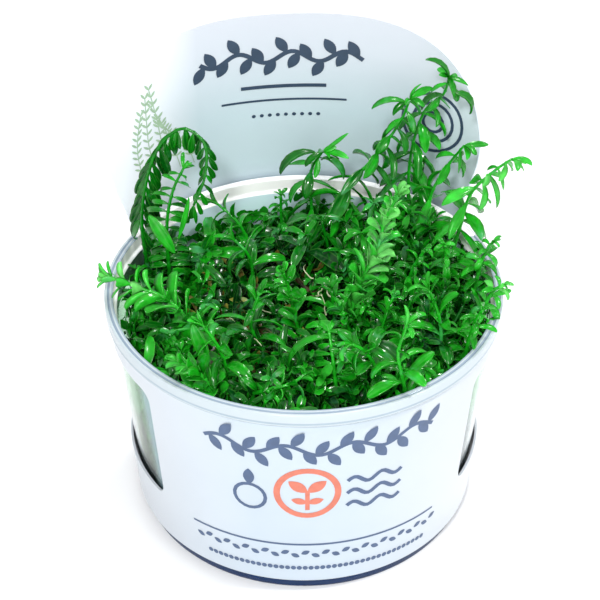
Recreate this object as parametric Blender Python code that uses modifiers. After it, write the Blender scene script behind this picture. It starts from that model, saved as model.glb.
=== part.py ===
"""Rotala in its clear culture cup: cup, sleeve with a tall back card, gel, low growth and shoots."""

import math
import random

import bmesh
import bpy
from mathutils import Vector, noise
from mathutils.bvhtree import BVHTree

MM = 0.001
GAP = 0.3 * MM
ROUND_STEPS = 40
MERGE_DISTANCE = 0.05 * MM
SMOOTH_ANGLE = math.radians(30)

# The cup, a thin clear wall that widens upwards to a lid rim
CUP_HEIGHT = 64.0 * MM
CUP_FOOT_RADIUS = 43.8 * MM
WALL_SLOPE = 0.08
CUP_WALL = 1.2 * MM
CUP_FLOOR = 1.6 * MM
RIM_HEIGHT = 3.7 * MM
RIM_RADIUS = 50.4 * MM
RIM_BORE = 48.2 * MM
EDGE_ROUND = 0.6 * MM

# The nutrient gel under the plants
GEL_DEPTH = 11.0 * MM
GEL_MENISCUS = 1.0 * MM

# The card sleeve, turned a little to the right of the front
SLEEVE_THICKNESS = 0.8 * MM
SLEEVE_FIT = 0.5 * MM
SLEEVE_BOTTOM = 4.0 * MM
SLEEVE_TOP = CUP_HEIGHT - RIM_HEIGHT - GAP
SLEEVE_TURN = math.radians(4.0)
WINDOW_BOTTOM = 19.0 * MM
WINDOW_TOP = 54.6 * MM
WINDOW_FRONT = math.radians(54.0)
WINDOW_BACK = math.radians(112.0)
CARD_TOP = 111.0 * MM
CARD_HALF_WIDTH = 50.3 * MM
CARD_CORNER_POWER = 3.1
CARD_SPREAD = 0.1
CARD_SPREAD_END = 0.45
CARD_FLATTENING = 0.9
CARD_BEHIND_RIM = 2.2 * MM
CARD_COLUMNS = 18
CARD_ROWS = 4
SIDE_COLUMNS = 7
FRONT_COLUMNS = 12

# The low growth, shoots so close that they fill the cup above the gel
GROWTH_TOP = 56.5 * MM
GROWTH_BACK_DROP = 9.0 * MM
GROWTH_BACK_START = 0.45
GROWTH_SWELL = 3.0 * MM
GROWTH_SWELL_WIDTH = 16.0 * MM
GROWTH_TIP = 2.6 * MM
GROWTH_RINGS = 8
GROWTH_FIRST_TIPS = 2
GROWTH_WALL_ROWS = 2
GROWTH_CLEARANCE = 0.5 * MM
GROWTH_SEED = 7

# Shoots: stem width, and the smallest distance kept to every neighbour
STEM_WIDTH = 1.3 * MM
STEM_TIP_WIDTH = 0.9 * MM
STEM_STEP = 0.45 * MM
NODE_HEIGHT = 0.9 * MM
BUD_LENGTH = 1.6 * MM
LEAF_THICKNESS = 0.55 * MM
LEAF_MIDDLE = 0.45
LEAF_ROOT_SIZE = 0.75
LEAF_SIZE_GAIN = 0.5
LEAF_SIZE_SHIFT = 0.15
LEAF_TIP_LOSS = 0.25
NEIGHBOUR_GAP = 0.35 * MM
LEAF_TRIES = (1.0, 0.75, 0.5)
ROOT_GAP = 0.4 * MM
SETTLE_STEP = 0.5 * MM
SETTLE_ROUNDS = 30
ABOVE_ALL = 1.0
SIDE_OFFSET_WEIGHT = 10.0

# Leaf forms: length, width and spacing in millimetres, rise in degrees, droop at the tip
LEAF_FORMS = {
    "lance": (8.5, 2.6, 3.9, 35.0, 0.30),
    "blunt": (6.0, 3.4, 3.1, 48.0, 0.05),
    "comb": (5.6, 1.9, 3.1, 12.0, 0.15),
    "short": (5.2, 2.4, 2.8, 40.0, 0.15),
}

# Shoots that stand out: leaf form, turn of the first pair in degrees, the stem's points in millimetres
SHOOTS = {
    "left_arch": ("comb", 0, [(-41, 17, 58), (-42, 19, 72), (-38, 21, 89), (-31, 21, 97), (-25, 19, 94),
                              (-25, 16, 86), (-28, 13, 79)]),
    "left_upright": ("comb", 0, [(-35, 12, 57), (-35, 12, 73), (-33, 12, 84), (-30, 12, 91)]),
    "left_rim": ("blunt", 20, [(-24, -14, 59), (-33, -10, 66), (-41, -8, 69), (-48, -5, 70)]),
    "front_left_bud": ("short", 0, [(-20, -34, 57), (-24, -36, 64), (-30, -36, 69)]),
    "front_left_leaf": ("lance", 60, [(-18, -28, 57), (-20, -29, 66), (-24, -28, 73)]),
    "front_lying": ("short", 40, [(-14, -34, 59), (-9, -40, 63), (-3, -40, 65), (1, -37, 66)]),
    "front_curled": ("lance", 10, [(8, -33, 57), (7, -32, 65), (6, -28, 71)]),
    "front_fork": ("lance", 30, [(25, -36, 57), (23, -38, 66), (22, -37, 72), (24, -35, 79)]),
    "front_side_branch": ("lance", 80, [(19, -31, 62), (15, -34, 69), (11, -35, 73)]),
    "bright_upright": ("blunt", 15, [(10, -8, 57), (14, -8, 70), (18, -5, 78), (20, -2, 85), (23, -1, 92)]),
    "back_centre": ("lance", 0, [(4, 31, 56), (2, 31, 68), (2, 31, 78), (5, 28, 86)]),
    "long_arching": ("lance", 50, [(-1, 22, 56), (7, 26, 67), (13, 29, 76), (20, 30, 85), (25, 30, 94),
                                   (27, 29, 101)]),
    "topmost": ("lance", 20, [(29, 33, 57), (28, 35, 76), (31, 36, 92), (36, 36, 98), (37, 33, 105)]),
    "right_tall": ("lance", 70, [(34, 24, 57), (33, 25, 72), (37, 26, 82), (41, 23, 91)]),
    "far_right": ("lance", 40, [(37, 14, 58), (40, 13, 72), (42, 11, 84), (47, 9, 92), (51, 7, 97)]),
    "right_inner": ("short", 15, [(36, 3, 58), (36, 2, 68), (35, -1, 77)]),
    "right_rim": ("short", 55, [(43, 3, 59), (45, 2, 70), (47, -1, 78)]),
    "right_over_rim": ("short", 25, [(43, -9, 59), (46, -10, 68), (49, -12, 73)]),
    "right_front": ("short", 5, [(39, -22, 58), (41, -22, 68), (43, -23, 74)]),
    "centre_bud": ("blunt", 35, [(-1, -9, 56), (-3, -8, 65), (-5, -10, 75)]),
    "centre_left": ("lance", 75, [(-9, -17, 56), (-13, -17, 64), (-11, -15, 72)]),
    "back_left": ("lance", 45, [(-11, 25, 55), (-17, 26, 64), (-23, 29, 69)]),
    "back_small": ("short", 30, [(-5, 30, 55), (-6, 30, 64), (-6, 30, 71)]),
    "centre_star": ("lance", 5, [(-13, 12, 57), (-14, 9, 66), (-18, 10, 71)]),
    "centre_right": ("short", 65, [(27, 0, 57), (27, -1, 68), (30, -2, 76)]),
    "front_right": ("lance", 20, [(34, -21, 57), (33, -20, 68), (30, -18, 76)]),
    "centre_thin": ("short", 50, [(20, -16, 56), (20, -16, 66), (22, -15, 72)]),
}

COLLECTION_NAME = "rotala_in_cup"


def clear_scene():
    for obj in list(bpy.data.objects):
        bpy.data.objects.remove(obj, do_unlink=True)


def new_collection(name):
    collection = bpy.data.collections.new(name)
    bpy.context.scene.collection.children.link(collection)
    return collection


def surface(name, colour, roughness, transmission=0.0):
    material = bpy.data.materials.new(name)
    material.use_nodes = True
    shader = material.node_tree.nodes["Principled BSDF"]
    shader.inputs["Base Color"].default_value = (*colour, 1.0)
    shader.inputs["Roughness"].default_value = roughness
    shader.inputs["Transmission Weight"].default_value = transmission
    return material


def clear_plastic():
    return surface("clear_plastic", (0.92, 0.96, 0.97), 0.06, transmission=0.95)


def sleeve_card():
    return surface("sleeve_card", (0.82, 0.88, 0.93), 0.4)


def plant_gel():
    return surface("plant_gel", (0.86, 0.9, 0.82), 0.15, transmission=0.7)


def dense_leaf():
    return surface("dense_leaf", (0.02, 0.17, 0.03), 0.35)


def shoot_leaf():
    return surface("shoot_leaf", (0.06, 0.42, 0.05), 0.3)


def add_object(name, mesh, material, collection, smooth=False):
    obj = bpy.data.objects.new(name, mesh)
    mesh.materials.clear()
    mesh.materials.append(material)
    if smooth:
        mesh.shade_smooth()
        mesh.set_sharp_from_angle(angle=SMOOTH_ANGLE)
    collection.objects.link(obj)
    return obj


def turned(name, profile, steps, material, collection):
    """A profile of (radius, height) points, up the inside and down the outside, turned about the axis."""
    mesh = bpy.data.meshes.new(name)
    points = [(radius, 0.0, height) for radius, height in profile]
    mesh.from_pydata(points, [(i, i + 1) for i in range(len(points) - 1)], [])
    obj = add_object(name, mesh, material, collection)
    screw = obj.modifiers.new("turn", "SCREW")
    screw.steps = steps
    screw.render_steps = steps
    screw.use_merge_vertices = True
    screw.merge_threshold = MERGE_DISTANCE
    screw.use_smooth_shade = True
    return obj


def evaluated_mesh(obj):
    graph = bpy.context.evaluated_depsgraph_get()
    return bpy.data.meshes.new_from_object(obj.evaluated_get(graph))


def cup_outside(height):
    return CUP_FOOT_RADIUS + WALL_SLOPE * height


def cup_inside(height):
    return cup_outside(height) - CUP_WALL


def build_cup(collection):
    shoulder = CUP_HEIGHT - RIM_HEIGHT
    profile = [
        (0.0, CUP_FLOOR),
        (cup_inside(CUP_FLOOR), CUP_FLOOR),
        (cup_inside(shoulder), shoulder),
        (RIM_BORE, shoulder + EDGE_ROUND),
        (RIM_BORE, CUP_HEIGHT - EDGE_ROUND),
        (RIM_BORE + EDGE_ROUND, CUP_HEIGHT),
        (RIM_RADIUS - EDGE_ROUND, CUP_HEIGHT),
        (RIM_RADIUS, CUP_HEIGHT - EDGE_ROUND),
        (RIM_RADIUS, shoulder + EDGE_ROUND),
        (RIM_RADIUS - EDGE_ROUND, shoulder),
        (cup_outside(shoulder), shoulder),
        (cup_outside(EDGE_ROUND), EDGE_ROUND),
        (cup_outside(0.0) - EDGE_ROUND, 0.0),
        (0.0, 0.0),
    ]
    return turned("cup", profile, ROUND_STEPS, clear_plastic(), collection)


def build_gel(collection):
    bottom = CUP_FLOOR + GAP
    top = bottom + GEL_DEPTH
    profile = [
        (0.0, top),
        (cup_inside(top) - GAP - 2 * GEL_MENISCUS, top),
        (cup_inside(top) - GAP, top + GEL_MENISCUS),
        (cup_inside(bottom) - GAP, bottom),
        (0.0, bottom),
    ]
    return turned("nutrient_gel", profile, ROUND_STEPS // 2, plant_gel(), collection)


def sleeve_inside(height):
    return cup_outside(height) + SLEEVE_FIT


def ease(share):
    share = min(1.0, max(0.0, share))
    return share * share * (3.0 - 2.0 * share)


def card_stand_off(angle_from_back, height):
    """How far the sheet leaves the cup's wall, to pass behind the lid rim in the width of the card."""
    rise = ease((height - SLEEVE_BOTTOM) / (SLEEVE_TOP - SLEEVE_BOTTOM))
    window_edge = math.pi - WINDOW_BACK
    card_edge = CARD_HALF_WIDTH / sheet_radius()
    width = ease((window_edge - abs(angle_from_back)) / (window_edge - card_edge))
    return CARD_BEHIND_RIM * rise * width


def sheet_radius():
    return sleeve_inside(SLEEVE_TOP) + CARD_BEHIND_RIM


def placed(across, depth, height):
    """A point given across and behind the axis, turned with the sleeve."""
    cosine, sine = math.cos(SLEEVE_TURN), math.sin(SLEEVE_TURN)
    return Vector((-across * cosine - depth * sine, -across * sine + depth * cosine, height))


def sleeve_point(angle_from_back, height):
    """A point of the band, at an angle from the middle of the back."""
    wrapped = (angle_from_back + math.pi) % (2 * math.pi) - math.pi
    radius = sleeve_inside(height) + card_stand_off(wrapped, height)
    return placed(radius * math.sin(wrapped), radius * math.cos(wrapped), height)


def card_point(along, height):
    """A point of the card above the band, a distance along the sheet from its middle."""
    radius = sheet_radius() + CARD_FLATTENING * (height - SLEEVE_TOP)
    depth = sheet_radius() + WALL_SLOPE * (height - SLEEVE_TOP) - radius * (1.0 - math.cos(along / radius))
    return placed(radius * math.sin(along / radius), depth, height)


def card_outline(fraction):
    """Distance along the sheet and height of the card's edge, from one foot at 0 to the other at 1."""
    across = -math.cos(math.pi * fraction)
    rise = max(0.0, 1.0 - abs(across) ** CARD_CORNER_POWER) ** (1.0 / CARD_CORNER_POWER)
    return across * CARD_HALF_WIDTH, SLEEVE_TOP + rise * (CARD_TOP - SLEEVE_TOP)


def band_angles():
    """Angles of the band's columns from the middle of the back, some on the card and window edges."""
    card = [card_outline(i / CARD_COLUMNS)[0] / sheet_radius() for i in range(CARD_COLUMNS + 1)]
    start = math.pi - WINDOW_BACK
    side_step = (WINDOW_BACK - WINDOW_FRONT) / SIDE_COLUMNS
    side = [start + side_step * i for i in range(SIDE_COLUMNS + 1)]
    front_step = 2 * WINDOW_FRONT / FRONT_COLUMNS
    front = [side[-1] + front_step * i for i in range(1, FRONT_COLUMNS)]
    other_side = [2 * math.pi - angle for angle in reversed(side)]
    return card + side + front + other_side


def in_window(left, right):
    """Whether the band between two column angles lies in one of the side windows."""
    from_front = abs(math.pi - (left + right) / 2)
    return WINDOW_FRONT < from_front < WINDOW_BACK


def build_sleeve(collection):
    bm = bmesh.new()
    angles = band_angles()
    heights = [SLEEVE_BOTTOM, WINDOW_BOTTOM, WINDOW_TOP, SLEEVE_TOP]
    columns = [[bm.verts.new(sleeve_point(angle, z)) for z in heights] for angle in angles]
    for i, left in enumerate(columns):
        after = (i + 1) % len(columns)
        right = columns[after]
        window = after > 0 and in_window(angles[i], angles[after])
        for row in range(len(heights) - 1):
            if heights[row] == WINDOW_BOTTOM and window:
                continue
            bm.faces.new((left[row], right[row], right[row + 1], left[row + 1]))
    card = [[column[-1]] for column in columns[: CARD_COLUMNS + 1]]
    for i in range(1, CARD_COLUMNS):
        along, top = card_outline(i / CARD_COLUMNS)
        for row in range(1, CARD_ROWS + 1):
            share = row / CARD_ROWS
            height = SLEEVE_TOP + share * (top - SLEEVE_TOP)
            rise = (height - SLEEVE_TOP) / (CARD_TOP - SLEEVE_TOP)
            spread = 1.0 + CARD_SPREAD * ease(rise / CARD_SPREAD_END)
            card[i].append(bm.verts.new(card_point(along * spread, height)))
    for i in range(CARD_COLUMNS):
        left, right = card[i], card[i + 1]
        for row in range(CARD_ROWS):
            corners = [left[min(row, len(left) - 1)], right[min(row, len(right) - 1)]]
            corners += [right[min(row + 1, len(right) - 1)], left[min(row + 1, len(left) - 1)]]
            distinct = list(dict.fromkeys(corners))
            if len(distinct) > 2:
                bm.faces.new(distinct)
    bmesh.ops.recalc_face_normals(bm, faces=bm.faces)
    front_face = min(bm.faces, key=lambda face: face.calc_center_median().y)
    if front_face.normal.y > 0:
        bmesh.ops.reverse_faces(bm, faces=bm.faces)
    mesh = bpy.data.meshes.new("sleeve")
    bm.to_mesh(mesh)
    bm.free()
    obj = add_object("sleeve", mesh, sleeve_card(), collection, smooth=True)
    solid = obj.modifiers.new("thickness", "SOLIDIFY")
    solid.thickness = SLEEVE_THICKNESS
    solid.offset = 1.0
    return obj


def growth_height(x, y):
    """Height of the low growth's top, lower towards the back where the plants leave the wall bare."""
    radius = cup_inside(CUP_HEIGHT)
    swell = noise.noise(Vector((x, y, 0.0)) / GROWTH_SWELL_WIDTH) * GROWTH_SWELL
    back = (y / radius - GROWTH_BACK_START) / (1.0 - GROWTH_BACK_START)
    return GROWTH_TOP + swell - GROWTH_BACK_DROP * min(1.0, max(0.0, back))


def build_growth(collection):
    """A turned body with a top of many points, where leaf tips stand over the dark gaps between them."""
    bottom = CUP_FLOOR + 2 * GAP + GEL_DEPTH + GEL_MENISCUS + GAP
    rim = GROWTH_TOP
    profile = [(0.0, rim)]
    outer = cup_inside(rim) - GROWTH_CLEARANCE
    profile += [(outer * i / GROWTH_RINGS, rim) for i in range(1, GROWTH_RINGS + 1)]
    for i in range(1, GROWTH_WALL_ROWS + 1):
        height = rim + (bottom - rim) * i / GROWTH_WALL_ROWS
        profile.append((cup_inside(height) - GROWTH_CLEARANCE, height))
    profile.append((0.0, bottom))
    body = turned("dense_growth", profile, ROUND_STEPS, dense_leaf(), collection)
    mesh = evaluated_mesh(body)
    bpy.data.objects.remove(body, do_unlink=True)
    random.seed(GROWTH_SEED)
    for vertex in mesh.vertices:
        place = vertex.co
        if place.z < rim - 1e-6:
            continue
        radius = math.hypot(place.x, place.y)
        ring = round(radius / outer * GROWTH_RINGS)
        spoke = round(math.atan2(place.y, place.x) / (2 * math.pi) * ROUND_STEPS)
        tip = GROWTH_TIP if (ring + spoke) % 2 else -GROWTH_TIP
        if ring < GROWTH_FIRST_TIPS or ring == GROWTH_RINGS:
            tip = 0.0
        place.z = growth_height(place.x, place.y) + tip * random.uniform(0.4, 1.0)
        inward = min(1.0, (cup_inside(place.z) - GROWTH_CLEARANCE) / max(radius, MM))
        place.x *= inward
        place.y *= inward
    bm = bmesh.new()
    bm.from_mesh(mesh)
    bmesh.ops.triangulate(bm, faces=bm.faces)
    bm.to_mesh(mesh)
    bm.free()
    return add_object("dense_growth", mesh, dense_leaf(), collection)


def smooth_path(points, step):
    """Points at even distances along a smooth curve through the given ones."""
    ends = [points[0] * 2 - points[1], *points, points[-1] * 2 - points[-2]]
    fine = []
    for a, b, c, d in zip(ends, ends[1:], ends[2:], ends[3:]):
        for i in range(12):
            t = i / 12
            fine.append(0.5 * ((2 * b) + (c - a) * t + (2 * a - 5 * b + 4 * c - d) * t ** 2
                               + (3 * b - a - 3 * c + d) * t ** 3))
    fine.append(points[-1].copy())
    path = [fine[0]]
    spare = 0.0
    for start, end in zip(fine, fine[1:]):
        length = (end - start).length
        while spare + length >= step:
            start = start.lerp(end, (step - spare) / length)
            length = (end - start).length
            spare = 0.0
            path.append(start.copy())
        spare += length
    return path


def tangents(path):
    return [(path[min(i + 1, len(path) - 1)] - path[max(i - 1, 0)]).normalized() for i in range(len(path))]


def side_axes(path, first_turn):
    """For each point an axis across the stem, carried along without twisting."""
    along = tangents(path)
    start = Vector((1, 0, 0)) if abs(along[0].x) < 0.9 else Vector((0, 1, 0))
    side = (start - along[0] * start.dot(along[0])).normalized()
    other = along[0].cross(side)
    side = side * math.cos(first_turn) + other * math.sin(first_turn)
    axes = []
    for tangent in along:
        side = (side - tangent * side.dot(tangent)).normalized()
        axes.append(side.copy())
    return axes


def tree_of(mesh, lift=0.0):
    raised = [v.co + Vector((0, 0, lift)) for v in mesh.vertices]
    return BVHTree.FromPolygons(raised, [p.vertices for p in mesh.polygons])


class Neighbours:
    """The surfaces already placed, for keeping new leaves clear of them."""

    def __init__(self, solids):
        self.trees = [tree_of(evaluated_mesh(obj)) for obj in solids]

    def add_bmesh(self, bm):
        self.trees.append(BVHTree.FromBMesh(bm))

    def blocked(self, bm, skip=None):
        tree = BVHTree.FromBMesh(bm)
        return any(tree.overlap(other) for other in self.trees if other is not skip)


def square(centre, side, other, half):
    return [centre + side * a * half + other * b * half for a, b in ((-1, -1), (1, -1), (1, 1), (-1, 1))]


def extend(bm, face, corners):
    """Extrudes one face and moves its corners to new places, in their own order."""
    new_face = bmesh.ops.extrude_discrete_faces(bm, faces=[face])["faces"][0]
    for vertex, place in zip(new_face.verts, corners):
        vertex.co = place
    return new_face


def build_stem(path, axes, spacing):
    """The stem as a square tube with a short collar at every node, and the nodes' places for the leaves."""
    bm = bmesh.new()
    along = tangents(path)
    nodes = []
    count = len(path)
    start = square(path[0], axes[0], along[0].cross(axes[0]), STEM_WIDTH / 2)
    face = bm.faces.new([bm.verts.new(place) for place in start])
    if face.normal.dot(along[0]) < 0:
        face.normal_flip()
    order = [min(range(4), key=lambda k: (start[k] - vertex.co).length) for vertex in face.verts]
    foot = list(face.verts)
    collar = max(1, round(NODE_HEIGHT / (path[1] - path[0]).length))
    every = max(collar + 1, round(spacing / (path[1] - path[0]).length))
    index = every - collar
    while index + collar < count:
        for position in (index, index + collar):
            half = (STEM_WIDTH + (STEM_TIP_WIDTH - STEM_WIDTH) * position / count) / 2
            ring = square(path[position], axes[position], along[position].cross(axes[position]), half)
            face = extend(bm, face, [ring[k] for k in order])
        nodes.append((index, index + collar))
        index += every
    bm.faces.new(foot)
    end_face = bmesh.ops.extrude_discrete_faces(bm, faces=[face])["faces"][0]
    bud = path[nodes[-1][1]] + along[nodes[-1][1]] * BUD_LENGTH
    bmesh.ops.pointmerge(bm, verts=list(end_face.verts), merge_co=bud)
    return bm, nodes


def leaf_frame(direction, tangent, rise, droop, length):
    """The middle and tip of a leaf relative to its foot, and its width axis."""
    out = (direction * math.cos(rise) + tangent * math.sin(rise)).normalized()
    width = tangent.cross(direction).normalized()
    middle = out * length * LEAF_MIDDLE
    tip = out * length + Vector((0, 0, -droop * length))
    return middle, tip, width


def grow_leaf(bm, face, middle, tip, width, wide, thick):
    centre = face.calc_center_median()
    out = middle.normalized()
    over = out.cross(width).normalized()
    corners = []
    for vertex in face.verts:
        offset = vertex.co - centre
        a = 1 if offset.dot(width) > 0 else -1
        b = 1 if offset.dot(over) > 0 else -1
        corners.append(centre + middle + width * a * wide / 2 + over * b * thick / 2)
    mid_face = extend(bm, face, corners)
    tip_face = bmesh.ops.extrude_discrete_faces(bm, faces=[mid_face])["faces"][0]
    bmesh.ops.pointmerge(bm, verts=list(tip_face.verts), merge_co=centre + tip)


def leaf_probe(centre, middle, tip, width, wide, thick):
    """A leaf a little larger than the real one, from near its foot to past its tip."""
    bm = bmesh.new()
    out = middle.normalized()
    over = out.cross(width).normalized()
    wide = wide / 2 + NEIGHBOUR_GAP
    thick = thick / 2 + NEIGHBOUR_GAP
    foot = centre + out * NEIGHBOUR_GAP * 1.5
    rings = []
    for place, w, t in ((foot, STEM_WIDTH / 2, STEM_WIDTH / 2), (centre + middle, wide, thick)):
        corners = [place + width * a * w + over * b * t for a, b in ((-1, -1), (1, -1), (1, 1), (-1, 1))]
        rings.append([bm.verts.new(corner) for corner in corners])
    end = bm.verts.new(centre + tip + (tip - middle).normalized() * NEIGHBOUR_GAP * 2)
    for i in range(4):
        j = (i + 1) % 4
        bm.faces.new((rings[0][i], rings[0][j], rings[1][j], rings[1][i]))
        bm.faces.new((rings[1][i], rings[1][j], end))
    bm.faces.new(rings[0])
    return bm


def side_face(bm, start, end, direction):
    """The stem's face between two path points that looks in a direction."""
    centre = (start + end) / 2
    along = (end - start).normalized()

    def fit(face):
        offset = abs((face.calc_center_median() - centre).dot(along))
        return face.normal.dot(direction) - SIDE_OFFSET_WEIGHT * offset / STEM_WIDTH

    near = [face for face in bm.faces if (face.calc_center_median() - centre).length < STEM_WIDTH]
    return max(near, key=fit)


def height_under(tree, place):
    """Height of the surface below a place, taken from far above; where there is none, far below."""
    hit = tree.ray_cast(Vector((place.x, place.y, ABOVE_ALL)), Vector((0, 0, -1)))[0]
    return hit.z if hit else -ABOVE_ALL


def stem_route(points, growth_tree):
    """The stem's path in small steps, from where it leaves the low growth."""
    path = smooth_path([Vector(p) * MM for p in points], STEM_STEP)
    for i, place in enumerate(path):
        if place.z - height_under(growth_tree, place) > ROOT_GAP:
            return path[i:]
    return path


def leaf_size(share):
    """Leaf size along a shoot, from its root at 0 to its tip at 1: smaller at both ends."""
    middle = math.sin(math.pi * min(1.0, share + LEAF_SIZE_SHIFT))
    return (LEAF_ROOT_SIZE + LEAF_SIZE_GAIN * middle) * (1.0 - LEAF_TIP_LOSS * share)


def add_leaves(bm, form, path, axes, nodes, neighbours, own_tree):
    """A pair of leaves at each node, every pair turned a quarter, left off where they meet a neighbour."""
    length, wide, _, rise, droop = LEAF_FORMS[form]
    along = tangents(path)
    for k, (first, last) in enumerate(nodes):
        tangent = along[first]
        axis = axes[first] if k % 2 == 0 else tangent.cross(axes[first])
        size = leaf_size(k / max(1, len(nodes) - 1)) * MM
        for direction in (axis, -axis):
            face = side_face(bm, path[first], path[last], direction)
            centre = face.calc_center_median()
            for scale in LEAF_TRIES:
                leaf = leaf_frame(direction, tangent, math.radians(rise), droop, length * size * scale)
                probe = leaf_probe(centre, *leaf, wide * size * scale, LEAF_THICKNESS)
                free = not neighbours.blocked(probe, skip=own_tree)
                if free:
                    grow_leaf(bm, face, *leaf, wide * size * scale, LEAF_THICKNESS)
                    bm.normal_update()
                    neighbours.add_bmesh(probe)
                probe.free()
                if free:
                    break


def build_shoots(collection, solids, growth):
    """All the shoots: first every stem, then the leaves."""
    neighbours = Neighbours(solids)
    growth_tree = tree_of(growth.data)
    material = shoot_leaf()
    stems = []
    for name, (form, turn, points) in SHOOTS.items():
        path = stem_route(points, growth_tree)
        axes = side_axes(path, math.radians(turn))
        bm, nodes = build_stem(path, axes, LEAF_FORMS[form][2] * MM)
        bm.normal_update()
        neighbours.add_bmesh(bm)
        stems.append((name, bm, form, path, axes, nodes, neighbours.trees[-1]))
    shoots = []
    for name, bm, form, path, axes, nodes, own_tree in stems:
        add_leaves(bm, form, path, axes, nodes, neighbours, own_tree)
        bmesh.ops.recalc_face_normals(bm, faces=bm.faces)
        bmesh.ops.triangulate(bm, faces=bm.faces)
        mesh = bpy.data.meshes.new(name)
        bm.to_mesh(mesh)
        bm.free()
        shoots.append(add_object("shoot_" + name, mesh, material, collection))
    return shoots


def settle_growth(growth, shoots):
    """Presses the low growth down under every shoot until it keeps clear of all of them."""
    trees = [tree_of(shoot.data) for shoot in shoots]
    for _ in range(SETTLE_ROUNDS):
        raised = tree_of(growth.data, lift=ROOT_GAP)
        level = tree_of(growth.data)
        met = {pair[0] for tree in trees for pair in raised.overlap(tree) + level.overlap(tree)}
        if not met:
            break
        for index in {v for face in met for v in growth.data.polygons[face].vertices}:
            growth.data.vertices[index].co.z -= SETTLE_STEP


def root_shoots(growth, shoots):
    """Lowers the foot of each shoot's stem to the low growth under it."""
    tree = tree_of(growth.data)
    for shoot in shoots:
        feet = [v.co for v in shoot.data.vertices[:4]]
        drop = min(foot.z - height_under(tree, foot) for foot in feet) - ROOT_GAP
        for foot in feet:
            foot.z -= max(0.0, drop)


def main():
    clear_scene()
    collection = new_collection(COLLECTION_NAME)
    solids = [build_cup(collection), build_gel(collection), build_sleeve(collection)]
    growth = build_growth(collection)
    shoots = build_shoots(collection, solids, growth)
    settle_growth(growth, shoots)
    root_shoots(growth, shoots)
    settle_growth(growth, shoots)


main()
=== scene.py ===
import math
import random

import bmesh
import bpy
import numpy as np
from mathutils import Euler, Matrix, Vector, geometry, noise


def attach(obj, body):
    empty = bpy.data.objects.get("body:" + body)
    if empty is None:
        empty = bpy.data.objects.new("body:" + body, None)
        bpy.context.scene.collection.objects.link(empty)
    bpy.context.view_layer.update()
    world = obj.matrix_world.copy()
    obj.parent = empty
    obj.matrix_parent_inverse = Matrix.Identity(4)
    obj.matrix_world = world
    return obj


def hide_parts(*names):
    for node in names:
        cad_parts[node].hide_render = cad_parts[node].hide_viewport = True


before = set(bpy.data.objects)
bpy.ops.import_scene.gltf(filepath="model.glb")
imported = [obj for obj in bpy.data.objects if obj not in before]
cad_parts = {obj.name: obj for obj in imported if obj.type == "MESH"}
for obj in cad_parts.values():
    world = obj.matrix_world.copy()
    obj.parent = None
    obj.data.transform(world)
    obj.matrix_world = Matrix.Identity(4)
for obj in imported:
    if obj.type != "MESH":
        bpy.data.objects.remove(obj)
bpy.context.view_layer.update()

MM = 0.001
SEED = 11

# The camera, in front of the cup and above it
CAMERA_PLACE = (0.0, -343.3, 323.0)
CAMERA_PITCH = 37.57
CAMERA_YAW = 0.16
CAMERA_ROLL = -0.163
CAMERA_LENS = 101.87

# The cup
CUP_HEIGHT = 64.0
CUP_FOOT_RADIUS = 43.8
WALL_SLOPE = 0.08
CUP_WALL = 1.2
CUP_FLOOR = 1.6
RIM_HEIGHT = 3.7
RIM_RADIUS = 50.4
RIM_BORE = 48.2
CUP_STEPS = 128
FOOT_HEIGHT = 3.9
CUP_EDGE = 0.75
CUP_BACK = 21.0
WALL_IOR = 1.15
WALL_HAZE = (0.0, 0.1, 0.08)
WALL_HAZE_DENSITY = 40.0
# Places from front to back, in metres, between which the wall's painted reflection at its front, a pale milky
# veil, clears
PAINTED_REFLECTION_FRONT = (-0.0272, -0.0245)
RIM_LINE = 49.4
RIM_LINE_HALF = 0.25
RIM_FOOT_LINE = (0.75, 1.3)
# The cup's materials by number, the wall first
WALL, RIM, FOOT, GROOVE, SHADE, BACK, BORE = range(7)
# All but the wall: name, colour, roughness, index of refraction and share of clearness
CUP_LOOKS = [
    ("milky_rim", (0.5, 0.57, 0.61), 0.15, 1.49, 0.1),
    # The foot's dark navy is painted shade: the shade in the clear foot under the sleeve.
    ("foot_painted_shade", (0.005, 0.03, 0.11), 0.08, 1.3, 0.3),
    # The groove's darker blue grey is painted shade.
    ("rim_groove_painted_shade", (0.3, 0.38, 0.48), 0.1, 1.49, 0.2),
    ("rim_shade", (0.34, 0.42, 0.49), 0.1, 1.49, 0.1),
    # The back wall's pale, nearly opaque colour is painted light.
    ("back_wall_painted_light", (0.7, 0.9, 0.98), 0.1, 1.49, 0.1),
    # The bore and the back of the rim in plain white are painted light.
    ("bore_and_back_rim_painted_light", (1.0, 1.0, 1.0), 0.15, 1.49, 0.0),
]

# The gel and its roots
GEL_TOP = 12.9
GEL_CLEARANCE = 0.3
GEL_EDGE = 0.5
GEL_STEPS = 96
# The gel's climb at the wall: distance in from it, and rise
GEL_CLIMB = ((3.0, 0.0), (0.8, 0.4), (0.0, 1.0))
ROOT_COUNT = 70
ROOT_WIDTH = 0.35
ROOT_START = 6.0
ROOT_REACH = 38.0
ROOT_LIMIT = 40.0
ROOT_STRIDE = 1.6
ROOT_POINTS = 16

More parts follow.
